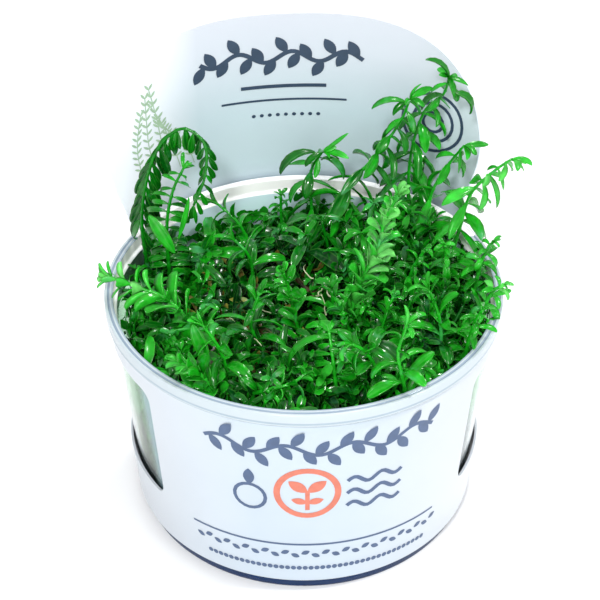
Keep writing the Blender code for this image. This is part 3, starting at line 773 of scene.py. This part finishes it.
def inside(point, loop):
    x, y = point
    hit = False
    for (x1, y1), (x2, y2) in zip(loop, loop[1:] + loop[:1]):
        if (y1 > y) != (y2 > y) and x < (x2 - x1) * (y - y1) / (y2 - y1) + x1:
            hit = not hit
    return hit


def filled(outer, holes, step):
    """Points and triangles that fill an outline around its holes."""
    def on_sheet(point):
        return inside(point, outer) and not any(inside(point, hole) for hole in holes)

    points, edges = [], []
    for loop in (outer, *holes):
        first = len(points)
        edges += [(first + i, first + (i + 1) % len(loop)) for i in range(len(loop))]
        points += [Vector(p) for p in loop]
    border = np.array([tuple(p) for p in points])
    low, high = border.min(axis=0), border.max(axis=0)
    for x in np.arange(low[0] + step / 2, high[0], step):
        for y in np.arange(low[1] + step / 2, high[1], step):
            near = np.abs(border - (x, y)).max(axis=1).min()
            if near > step * 0.45 and on_sheet((x, y)):
                points.append(Vector((x, y)))
    flat, _, faces = geometry.delaunay_2d_cdt(points, edges, [], 0, 1e-5)[:3]
    kept = []
    for face in faces:
        if on_sheet(sum((flat[i] for i in face), Vector((0.0, 0.0))) / len(face)):
            kept.append(tuple(face))
    return [tuple(p) for p in flat], kept


def thickened(flat, faces):
    """The sheet as a solid: inner and outer points, both skins and the walls along its free edges."""
    count = len(flat)
    inner = [sheet_point(s, z) for s, z in flat]
    outer = [point + sheet_normal(s, z) * SHEET_THICKNESS for point, (s, z) in zip(inner, flat)]
    edges = {}
    for face in faces:
        for edge in zip(face, face[1:] + face[:1]):
            edges[edge] = edges.get(edge, 0) + 1
    seam = math.pi * sheet_radius() - 0.01
    walls = []
    for a, b in edges:
        joined = min(abs(flat[a][0]), abs(flat[b][0])) > seam
        if (b, a) not in edges and not joined:
            walls.append((b, a, a + count, b + count))
    skins = [tuple(reversed(face)) for face in faces] + [tuple(i + count for i in face) for face in faces]
    return inner + outer, skins + walls


def build_sleeve(material):
    near, far = ((math.pi - angle) * sheet_radius() for angle in (WINDOW_BACK, WINDOW_FRONT))
    holes = []
    for left, right in ((near, far), (-far, -near)):
        corners = rounded_box(left, right, WINDOW_BOTTOM, WINDOW_TOP, WINDOW_CORNER)
        holes.append(outline_points(corners, EDGE_STEP))
    flat, faces = filled(outline_points(sheet_outline(), EDGE_STEP), holes, FILL_STEP)
    mesh = cleaned(mesh_from("printed_sleeve", *thickened(flat, faces)), 0.02)
    sleeve = new_piece("printed_sleeve", mesh, material)
    mesh.set_sharp_from_angle(angle=SHARP_ANGLE)
    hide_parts("sleeve")


# The print, all of it plain shapes: vines, rings, waves, drops, rules and dots


class Print:
    """Flat shapes laid on the sheet, outside on the band or inside on the card."""

    def __init__(self, inner=False):
        self.points = []
        self.faces = []
        self.lift = -INNER_LIFT if inner else SHEET_THICKNESS + PRINT_LIFT

    def place(self, s, z):
        self.points.append(sheet_point(s, z) + sheet_normal(s, z) * self.lift)

    def strip(self, line, halves, closed=False):
        """A band along a line, with its half width at each point."""
        columns = max(1, math.ceil(2 * max(halves) / PRINT_STEP))
        count = len(line)
        first = len(self.points)
        for i, (s, z) in enumerate(line):
            after = line[(i + 1) % count] if closed else line[min(i + 1, count - 1)]
            before = line[i - 1] if closed or i > 0 else line[0]
            run = Vector((after[0] - before[0], after[1] - before[1])).normalized()
            for column in range(columns + 1):
                side = (2 * column / columns - 1) * halves[i]
                self.place(s - run.y * side, z + run.x * side)
        self.faces += grid_faces(count, columns + 1, first, loop=closed)

    def rule(self, start, end, half):
        line = line_points(start, end, PRINT_STEP) + [end]
        self.strip(line, [half] * len(line))

    def ring(self, s, z, radius, half):
        count = max(16, round(math.tau * radius / PRINT_STEP))
        turns = [math.tau * i / count for i in range(count)]
        line = [(s + radius * math.cos(turn), z + radius * math.sin(turn)) for turn in turns]
        self.strip(line, [half] * count, closed=True)

    def dot(self, s, z, radius):
        self.ring(s, z, radius / 2, radius / 2)

    def leaf(self, s, z, degrees, length, width):
        x, y = polar(math.radians(degrees), length)
        count = max(8, round(length / PRINT_STEP * 2))
        line = [(s + x * i / count, z + y * i / count) for i in range(count + 1)]
        self.strip(line, [width / 2 * math.sin(math.pi * i / count) ** 0.8 + 0.02 for i in range(count + 1)])

    def wave(self, start, end, z, height, length, half):
        steps = max(8, round(abs(end - start) / (PRINT_STEP * 0.6)))
        places = [start + (end - start) * i / steps for i in range(steps + 1)]
        line = [(s, z + height * math.sin(math.tau * (s - start) / length)) for s in places]
        self.strip(line, [half] * len(line))

    def vine(self, ends, stem, places, lean, size):
        """A wavy stem with leaves to each side in turn."""
        self.wave(*ends, *stem)
        z, height, length, _ = stem
        for i, s in enumerate(places):
            rise = z + height * math.sin(math.tau * (s - ends[0]) / length)
            self.leaf(s, rise, lean if i % 2 else -lean, *size)

    def piece(self, name, material):
        new_piece(name, mesh_from(name, self.points, self.faces), material)


def front_s(degrees):
    """Place along the sheet from an angle to the right of the sleeve's own front."""
    return wrapped(math.radians(degrees) + math.pi) * sheet_radius()


def spaced(start, span, count):
    return [start + span * i / (count - 1) for i in range(count)]


def build_front_print(slate, orange):
    left = front_s(FRONT_START)
    right = left + FRONT_SPAN * (math.radians(1.0) * sheet_radius())
    dark = Print()
    places = [left + (right - left) * (i + 0.5) / FRONT_VINE_LEAVES for i in range(FRONT_VINE_LEAVES)]
    dark.vine((left, right), FRONT_VINE, places, 55.0, (5.6, 2.8))
    middle = front_s(WATER_PLACE)
    for i in range(3):
        dark.wave(middle - 7.5, middle + 7.5, WATER_RISE[0] + WATER_RISE[1] * i, 1.1, 7.5, 0.6)
    drop = front_s(DROP_PLACE)
    dark.ring(drop, 34.5, 4.2, 0.5)
    dark.leaf(drop, 38.6, 90.0, 5.5, 3.0)
    dark.rule((left - 7.0, 18.0), (right + 5.0, 18.0), 0.32)
    for i, s in enumerate(spaced(left - 6.0, right - left + 10.0, 26)):
        dark.leaf(s, 14.4, 25.0 if i % 2 else -25.0, 2.6, 1.5)
    for s in spaced(left - 2.0, right - left + 4.0, 40):
        dark.dot(s, 9.0, 0.75)
    dark.piece("slate_print", slate)
    bright = Print()
    seed = front_s(SEED_PLACE)
    bright.ring(seed, *SEED_RING)
    bright.rule((seed, 31.0), (seed, 38.0), 0.6)
    for z, lean, *size in SEED_LEAVES:
        bright.leaf(seed, z, lean, *size)
        bright.leaf(seed, z, 180.0 - lean, *size)
    bright.piece("orange_print", orange)


def build_card_print(slate, green):
    dark = Print(inner=True)
    dark.vine(CARD_VINE_ENDS, CARD_VINE, spaced(21.0, -38.0, 14), 60.0, (5.2, 2.7))
    dark.rule((12.0, 90.5), (-9.0, 90.5), 0.5)
    dark.rule((17.0, 86.5), (-14.0, 86.5), 0.3)
    for s in spaced(9.0, -16.0, 9):
        dark.dot(s, 82.0, 0.5)
    for i in range(3):
        dark.ring(*CARD_RINGS, 2.6 + 2.6 * i, 0.4)
    dark.piece("card_print", slate)
    pale = Print(inner=True)
    for foot, lean in PALE_SPRIGS:
        top = PALE_TOP - abs(lean + 4.0) * 0.7
        line = [(foot + lean * (i / 11) ** 2 * -0.4, PALE_FOOT + (top - PALE_FOOT) * i / 11)
                for i in range(12)]
        pale.strip(line, [0.12] * 12)
        for i, place in enumerate(line[2:]):
            pale.leaf(*place, 30.0 + 3 * i, 1.9, 0.55)
            pale.leaf(*place, 150.0 - 3 * i, 1.9, 0.55)
    pale.piece("pale_card_print", green)


# Leaves and stems


def leaf_template(rows, columns, closed):
    """Grid places of a leaf as (along, across, under) and its faces."""
    places = [(t, 2 * column / columns - 1, 0.0) for t in rows for column in range(columns + 1)]
    faces = grid_faces(len(rows), columns + 1)
    if closed:
        under = []
        for i, (t, v, _) in enumerate(list(places)):
            if abs(v) < 1.0:
                under.append(len(places))
                places.append((t, v, 1.0))
            else:
                under.append(i)
        faces += [tuple(under[i] for i in reversed(face)) for face in faces]
    return np.array(places), faces


class Leaves:
    """Many leaves that become one mesh."""

    def __init__(self, rows, columns, closed):
        self.places, self.template = leaf_template(rows, columns, closed)
        self.rows = []

    def add(self, foot, out, up, size, bend, cup, twist, outline, tone):
        """One leaf: size is length, width and thickness; outline is its power and fullness."""
        self.rows.append((*foot, *out, *up, *size, bend, cup, twist, *outline, tone))

    def arrays(self):
        data = np.array(self.rows)
        foot, out, up = data[:, None, 0:3], data[:, None, 3:6], data[:, None, 6:9]
        length, width, thick, bend, cup, twist, power, full, tone = (data[:, None, i] for i in range(9, 18))
        t, v, under = self.places[:, 0], self.places[:, 1], self.places[:, 2]
        turn = bend * t
        along = length * np.sin(turn) / bend
        drop = length * (1.0 - np.cos(turn)) / bend
        centre = foot + out * along[..., None] - up * drop[..., None]
        flat = up * np.cos(turn)[..., None] + out * np.sin(turn)[..., None]
        level = np.cross(out, up)
        cosine, sine = np.cos(twist * t)[..., None], np.sin(twist * t)[..., None]
        side, normal = level * cosine + flat * sine, flat * cosine - level * sine
        half = width / 2 * np.maximum(np.sin(np.pi * np.clip(t ** power, 0, 1)) ** full, 0.16 * (1.0 - t))
        lift = cup * half * v ** 2 - under * thick * (1.0 - v ** 2) * (1.0 - t * t)
        points = centre + side * (v * half)[..., None] + normal * lift[..., None]
        tones = np.stack(np.broadcast_arrays(tone, t, np.abs(v), np.ones(half.shape)), axis=-1)
        return points.reshape(-1, 3), tones.reshape(-1, 4)

    def faces(self):
        step = len(self.places)
        return [tuple(i + step * k for i in face) for k in range(len(self.rows)) for face in self.template]


def square_to(line, direction):
    """The part of a direction that is square to a line."""
    return direction - line * line.dot(direction)


def run_at(path, i):
    return (path[min(i + 1, len(path) - 1)] - path[max(i - 1, 0)]).normalized()


class Tubes:
    """Round stems that become one mesh."""

    def __init__(self, sides):
        self.sides = sides
        self.points = []
        self.tones = []
        self.face_list = []

    def add(self, path, radii, tone=0.5):
        side = Vector((1, 0, 0)) if abs((path[1] - path[0]).normalized().x) < 0.9 else Vector((0, 1, 0))
        first = len(self.points)
        for i, place in enumerate(path):
            along = run_at(path, i)
            side = square_to(along, side).normalized()
            other = along.cross(side)
            for k in range(self.sides):
                turn = math.tau * k / self.sides
                self.points.append(place + (side * math.cos(turn) + other * math.sin(turn)) * radii[i])
                self.tones.append((tone, 0.5, 0.5, 1.0))
        self.face_list += grid_faces(len(path), self.sides, first, ring=True)
        last = first + (len(path) - 1) * self.sides
        self.face_list.append(tuple(reversed(range(first, first + self.sides))))
        self.face_list.append(tuple(range(last, last + self.sides)))

    def mesh(self, name):
        return mesh_from(name, self.points, self.face_list)


def pressed(points):
    """The points, those that meet the cup's wall or the rim's bore pressed back inside it."""
    height = points[:, 2]
    reach = np.hypot(points[:, 0], points[:, 1])
    bore = np.where(height < CUP_HEIGHT - RIM_HEIGHT, cup_inside(height), RIM_BORE) - 0.3
    share = np.where((height < CUP_HEIGHT + 0.1) & (reach > bore), bore / np.maximum(reach, 1.0), 1.0)
    return points * np.stack([share, share, np.ones(len(share))], axis=1)


def plant_piece(name, leaves, tubes, material):
    """Leaves and stems as one piece, with the leaf attribute that the material reads."""
    points, tones = leaves.arrays()
    faces = leaves.faces()
    if tubes and tubes.points:
        shift = len(points)
        points = np.concatenate([points, np.array([tuple(p) for p in tubes.points])])
        tones = np.concatenate([tones, np.array(tubes.tones)])
        faces += [tuple(i + shift for i in face) for face in tubes.face_list]
    mesh = mesh_from(name, pressed(points), faces)
    attribute = mesh.attributes.new("leaf", "FLOAT_COLOR", "POINT")
    attribute.data.foreach_set("color", tones.ravel().astype(np.float32))
    return new_piece(name, mesh, material)


def plain_plants():
    """Thin leaves of few faces, and their stems."""
    return Leaves(PLAIN_ROWS, 2, False), Tubes(THIN_SIDES)


def smooth_path(points, step):
    points = [Vector(p) for p in points]
    ends = [points[0] * 2 - points[1], *points, points[-1] * 2 - points[-2]]
    fine = []
    for a, b, c, d in zip(ends, ends[1:], ends[2:], ends[3:]):
        for i in range(12):
            t = i / 12
            fine.append(0.5 * ((2 * b) + (c - a) * t + (2 * a - 5 * b + 4 * c - d) * t ** 2
                               + (3 * b - a - 3 * c + d) * t ** 3))
    fine.append(points[-1].copy())
    path, spare = [fine[0]], 0.0
    for start, end in zip(fine, fine[1:]):
        length = (end - start).length
        while spare + length >= step:
            start = start.lerp(end, (step - spare) / length)
            length = (end - start).length
            spare = 0.0
            path.append(start.copy())
        spare += length
    return path


def meets_wall(place):
    """Whether a place lies in the cup's wall or the rim, or outside them below the rim's top."""
    reach = math.hypot(place.x, place.y)
    return place.z < CUP_HEIGHT + 0.8 and reach > cup_inside(place.z) - 0.6


def add_leaf(leaves, place, direction, tangent, form, size, tone, fine=True):
    """One leaf on a stem, its upper face towards the stem's tip, left off where it meets the cup's wall."""
    length, width, _, rise, droop, power, full, bend = LEAF_FORMS[form]
    rise = math.radians(rise + random.uniform(-14.0, 14.0))
    out = direction * math.cos(rise) + tangent * math.sin(rise)
    out = (out - Vector((0, 0, droop * random.uniform(0.5, 1.2)))).normalized()
    up = square_to(out, Vector((0.0, -0.6, 0.8)) if form in FLAT_FORMS else tangent)
    if up.length < 0.2:
        up = square_to(out, Vector((0, 0, 1)))
    up.normalize()
    length *= size * random.uniform(0.8, 1.2)
    width *= size * random.uniform(0.8, 1.15)
    if fine and any(meets_wall(place + out * length * share) for share in (0.4, 0.8)):
        return
    leaves.add(place, out, up, (length, width, 0.35 if fine else 0.0), random.uniform(*bend),
               random.uniform(0.2, 0.8), random.uniform(-0.9, 0.9), (power, full),
               min(1.0, max(0.05, tone + random.uniform(-0.16, 0.12))))


def turned(side, line, turn):
    """A direction square to a line, turned about it."""
    return side * math.cos(turn) + line.cross(side) * math.sin(turn)


def leaf_axis(form, pair, side, tangent):
    """The line along which a pair of leaves stands."""
    if form in FLAT_FORMS:
        return tangent.cross(Vector((0.0, 1.0, 0.0))).normalized()
    return turned(side, tangent, math.pi / 2 * (pair % 2) + random.uniform(-0.4, 0.4))


def add_bud(leaves, tip, side, tangent, form, size, tone, fine):
    """The closed young leaves at a stem's tip."""
    for k in range(4):
        lean = (tangent * (1.6 + 0.9 * (k % 2)) + turned(side, tangent, math.pi / 2 * k)).normalized()
        add_leaf(leaves, tip, lean, tangent, form, size * (0.62 - 0.17 * (k % 2)), tone, fine)


def grow_shoot(leaves, tubes, points, form, turn, tone, fine=True, shrink=1.0, fresh_tip_and_painted_shade=0.15):
    """A stem with its leaf pairs and a bud of small leaves at its tip."""
    step = STEM_STEP if fine else PLAIN_STEP
    path = smooth_path(points, step)
    every = max(2, round(LEAF_FORMS[form][2] * shrink / step))
    radii = [STEM_WIDTH / 2 * shrink * (1.0 - 0.4 * i / len(path)) for i in range(len(path))]
    for i in range(every, len(path), every):
        radii[i] *= 1.35
    tubes.add(path, radii, min(0.85, tone + 0.14))
    side = Vector((*polar(math.radians(turn), 1.0), 0.0))
    count = max(1, len(path) // every)
    for k, i in enumerate(range(every, len(path), every)):
        tangent = run_at(path, i)
        side = square_to(tangent, side).normalized()
        axis = leaf_axis(form, k, side, tangent)
        share = k / count
        size = shrink * (0.75 + 0.5 * math.sin(math.pi * min(1.0, share + 0.15))) * (1.0 - 0.25 * share)
        for direction in (axis, -axis):
            if random.random() > LEAF_SKIP:
                place = path[i] + direction * radii[i] * 0.6
                # Leaves paler along the stem: the tip's leaves are fresher, and the lower ones darker as
                # painted shade.
                add_leaf(leaves, place, direction, tangent, form, size, tone + fresh_tip_and_painted_shade * share, fine)
    tangent = (path[-1] - path[-3]).normalized() if len(path) > 3 else Vector((0, 0, 1))
    side = square_to(tangent, side).normalized()
    add_bud(leaves, path[-1], side, tangent, form, shrink, tone + 0.18, fine)


def add_accents(leaves, name):
    for foot, out, up, length, width, bend, tone in ACCENT_LEAVES.get(name, []):
        out = Vector(out).normalized()
        up = square_to(out, Vector(up)).normalized()
        leaves.add(Vector(foot), out, up, (length, width, 0.45), bend, 0.5, random.uniform(-0.3, 0.3),
                   (1.15, 0.55), tone)


def build_shoots(material):
    random.seed(SEED + 1)
    for name, (form, turn, tone, points) in SHOOTS.items():
        leaves, tubes = Leaves(FINE_ROWS, 4, True), Tubes(STEM_SIDES)
        grow_shoot(leaves, tubes, points, form, turn, tone)
        add_accents(leaves, name)
        piece = plant_piece("leafy_" + name, leaves, tubes, material)
        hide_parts("shoot_" + name)


def build_core(material):
    """The depth of the growth, below the leaves, its near black partly painted shade."""
    points = []
    turns = [math.tau * spoke / CORE_STEPS for spoke in range(CORE_STEPS)]
    brim = GROWTH_TOP - CORE_DROP
    for ring in range(CORE_RINGS + 1):
        for turn in turns:
            x, y = polar(turn, CORE_RADIUS * ring / CORE_RINGS)
            bump = noise.noise(Vector((x, y, 5.0)) / CORE_BUMP_LENGTH) * CORE_BUMP
            points.append((x, y, growth_height(x, y) - CORE_DROP + bump))
    for row in range(1, CORE_ROWS + 1):
        z = brim - (brim - GEL_TOP - 1.6) * row / CORE_ROWS
        for turn in turns:
            wobble = noise.noise(Vector((*polar(turn, 9.0), z / CORE_BUMP_LENGTH))) * 2.0
            reach = min(cup_inside(z) - CORE_GAP[0] + wobble, cup_inside(z) - CORE_GAP[1])
            top = brim - GROWTH_BACK_DROP / 2 * max(0.0, math.sin(turn))
            points.append((*polar(turn, reach), min(z, top)))
    faces = [(a, d, c, b) for a, b, c, d in grid_faces(len(points) // CORE_STEPS, CORE_STEPS, ring=True)]
    faces.append(tuple(reversed(range(len(points) - CORE_STEPS, len(points)))))
    mesh = cleaned(mesh_from("growth_core", points, faces), 0.01)
    core = new_piece("growth_core", mesh, material)
    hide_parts("dense_growth")


def hollow(x, y):
    """How deep a place lies in the growth's dark hollow, from 0 to 1."""
    across = (x - HOLLOW_PLACE[0]) / HOLLOW_WIDTH[0]
    along = (y - HOLLOW_PLACE[1]) / HOLLOW_WIDTH[1]
    return math.exp(-across ** 2 - along ** 2)


def add_sprig(leaves, tubes, x, y, rise, lift):
    """A short shoot that leans its own way, darker in the hollow and at its foot, both painted shade."""
    start = Vector((x, y, growth_height(x, y) - CORE_DROP + lift))
    lean = sideways(0.9, 1.0).normalized()
    tip = start + lean * rise + sideways(3.0, 0.0)
    far = math.hypot(tip.x, tip.y)
    limit = cup_inside(min(tip.z, CUP_HEIGHT)) - 2.0
    if far > limit:
        tip.x *= limit / far
        tip.y *= limit / far
    form = random.choice(SPRIG_FORMS)
    tone = random.choice(SPRIG_TONES) - HOLLOW_PAINTED_SHADE * hollow(x, y)
    grow_shoot(leaves, tubes, [start, start + lean * rise * 0.5, tip], form, random.uniform(0, 360), tone,
               fine=False, shrink=random.uniform(0.75, 1.15), fresh_tip_and_painted_shade=0.3)


def build_sprigs(material):
    """The many short shoots that fill the cup's mouth, and the taller ones towards the right."""
    random.seed(SEED + 2)
    leaves, tubes = plain_plants()
    for k in range(SPRIG_COUNT):
        x, y = polar(k * GOLDEN_TURN, SPRIG_REACH * math.sqrt((k + 0.5) / SPRIG_COUNT))
        add_sprig(leaves, tubes, x, y, random.uniform(*SPRIG_RISE) - 3.0 * hollow(x, y), 0.0)
    plant_piece("growth_sprigs", leaves, tubes, material)
    leaves, tubes = plain_plants()
    for _ in range(TALL_COUNT):
        x, y = scattered(TALL_REACH)
        if hollow(x, y) > random.uniform(0.1, 0.6) or random.random() > 0.6 + x / 80.0:
            continue
        add_sprig(leaves, tubes, x, y, random.uniform(*TALL_RISE) + 0.08 * x, 3.0)
    plant_piece("tall_sprigs", leaves, tubes, material)


def build_hanging(material):
    """Longer shoots with hanging leaves, close together at the back right."""
    random.seed(SEED + 6)
    leaves, tubes = plain_plants()
    for k in range(HANGING_COUNT):
        turn = k * GOLDEN_TURN
        reach = math.sqrt((k + 0.5) / HANGING_COUNT)
        x = HANGING_PLACE[0] + HANGING_SPREAD[0] * reach * math.cos(turn)
        y = HANGING_PLACE[1] + HANGING_SPREAD[1] * reach * math.sin(turn)
        if math.hypot(x, y) > HANGING_REACH:
            continue
        foot = Vector((x, y, growth_height(x, y) - CORE_DROP))
        rise = random.uniform(*HANGING_RISE) * (1.0 - 0.35 * reach)
        tip = foot + Vector((random.uniform(-3, 4), random.uniform(-3, 2), rise))
        middle = foot.lerp(tip, 0.5) + sideways(1.5, 0.0)
        grow_shoot(leaves, tubes, [foot, middle, tip], "lance", random.uniform(0, 360),
                   random.uniform(0.3, 0.58), fine=False, shrink=random.uniform(0.7, 0.95), fresh_tip_and_painted_shade=0.2)
    plant_piece("hanging_sprigs", leaves, tubes, material)


def build_aerial_roots(material):
    """A few thin pale roots that curl among the leaves."""
    random.seed(SEED + 4)
    tubes = Tubes(THIN_SIDES)
    for _ in range(AERIAL_ROOTS):
        x, y = scattered(AERIAL_REACH)
        path = [Vector((x, y, growth_height(x, y) + random.uniform(0.0, 5.0)))]
        heading = any_way(-0.3, 0.5)
        for _ in range(8):
            heading = wandered(heading, 0.5)
            path.append(path[-1] + heading * 0.8)
        tubes.add(path, [0.22 - 0.015 * i for i in range(len(path))])
    new_piece("aerial_roots", tubes.mesh("aerial_roots"), material)


def build_old_leaves(material):
    """Brown and yellow old leaves, mostly down in the hollow."""
    random.seed(SEED + 5)
    leaves = Leaves(PLAIN_ROWS, 2, False)
    for k in range(OLD_LEAVES):
        spread = 1.1 if k % 3 else 1.9
        x = HOLLOW_PLACE[0] + HOLLOW_WIDTH[0] * random.uniform(-spread, spread)
        y = HOLLOW_PLACE[1] + HOLLOW_WIDTH[1] * random.uniform(-spread, spread)
        if math.hypot(x, y) > OLD_REACH:
            continue
        place = Vector((x, y, growth_height(x, y) - random.uniform(-1.0, 4.0)))
        out = any_way(-0.2, 0.7)
        up = out.cross(sideways(1.0, 0.3)).normalized()
        size = (random.uniform(4.0, 6.5), random.uniform(1.2, 2.2), 0.0)
        bend = random.uniform(0.5, 1.8)
        leaves.add(place, out, up, size, bend, 0.6, 0.5, (1.2, 0.5), random.uniform(0.9, 1.0))
    plant_piece("old_leaves", leaves, None, material)


def build_wall_leaves(material):
    """Leaves pressed against the cup's wall, seen through the sleeve's windows."""
    random.seed(SEED + 3)
    leaves = Leaves(PLAIN_ROWS, 2, False)
    for _ in range(WALL_LEAVES):
        turn = random.uniform(0, math.tau)
        z = random.uniform(*WALL_LEAF_RISE)
        outward = Vector((*polar(turn, 1.0), 0.0))
        place = outward * (cup_inside(z) - 0.8) + Vector((0, 0, z)) - outward * 0.4
        along, rise = polar(random.uniform(0, math.tau), 1.0)
        out = (Vector((-outward.y, outward.x, 0.0)) * along + Vector((0, 0, 1)) * rise).normalized()
        length = min(random.uniform(4.0, 7.0), WALL_LEAF_TOP - z)
        size = (length, random.uniform(1.8, 3.0), 0.0)
        # Paler higher up on the wall: painted light and shade.
        tone = random.uniform(0.3, 0.62) + 0.004 * z
        leaves.add(place, out, outward, size, 0.5, -0.2, 0.1, (1.2, 0.6), tone)
    plant_piece("wall_leaves", leaves, None, material)


# Light and camera


def area_light(name, place, size, watts):
    data = bpy.data.lights.new(name, "AREA")
    data.size = size
    data.energy = watts
    light = new_object(name, data)
    light.location = place
    light.rotation_euler = (Vector(LIGHT_AIM) - Vector(place)).to_track_quat("-Z", "Y").to_euler()


def set_light():
    world = bpy.data.worlds.new("studio")
    bpy.context.scene.world = world
    world.use_nodes = True
    background = world.node_tree.nodes["Background"]
    background.inputs["Color"].default_value = (1.0, 1.0, 1.0, 1.0)
    background.inputs["Strength"].default_value = WORLD_LIGHT
    for light in LIGHTS:
        area_light(*light)
    bpy.context.scene.view_settings.view_transform = "Standard"


def set_camera():
    data = bpy.data.cameras.new("camera")
    data.lens = CAMERA_LENS
    data.sensor_width = 36.0
    data.clip_start = 0.01
    camera = new_object("camera", data)
    turn = Euler((math.radians(90.0 - CAMERA_PITCH), 0.0, math.radians(CAMERA_YAW))).to_matrix()
    turn = turn @ Matrix.Rotation(math.radians(CAMERA_ROLL), 3, "Z")
    camera.matrix_world = Matrix.Translation(Vector(CAMERA_PLACE) * MM) @ turn.to_4x4()
    bpy.context.scene.camera = camera


def main():
    set_camera()
    set_light()
    build_floor(floor_material())
    build_cup()
    build_gel(clear_material("clear_gel", (0.9, 0.94, 0.86), 0.05, 1.34))
    build_roots(root_material())
    build_sleeve(card_material())
    build_front_print(ink_material("slate_ink", (0.055, 0.095, 0.19)),
                      ink_material("orange_ink", (0.6, 0.16, 0.1)))
    build_card_print(ink_material("dark_slate_ink", (0.03, 0.055, 0.1)),
                     ink_material("pale_green_ink", (0.36, 0.52, 0.36)))
    green = fresh_leaf()
    build_core(core_material())
    build_sprigs(green)
    build_hanging(green)
    build_old_leaves(old_leaf())
    build_aerial_roots(root_material())
    build_wall_leaves(green)
    build_shoots(green)


main()
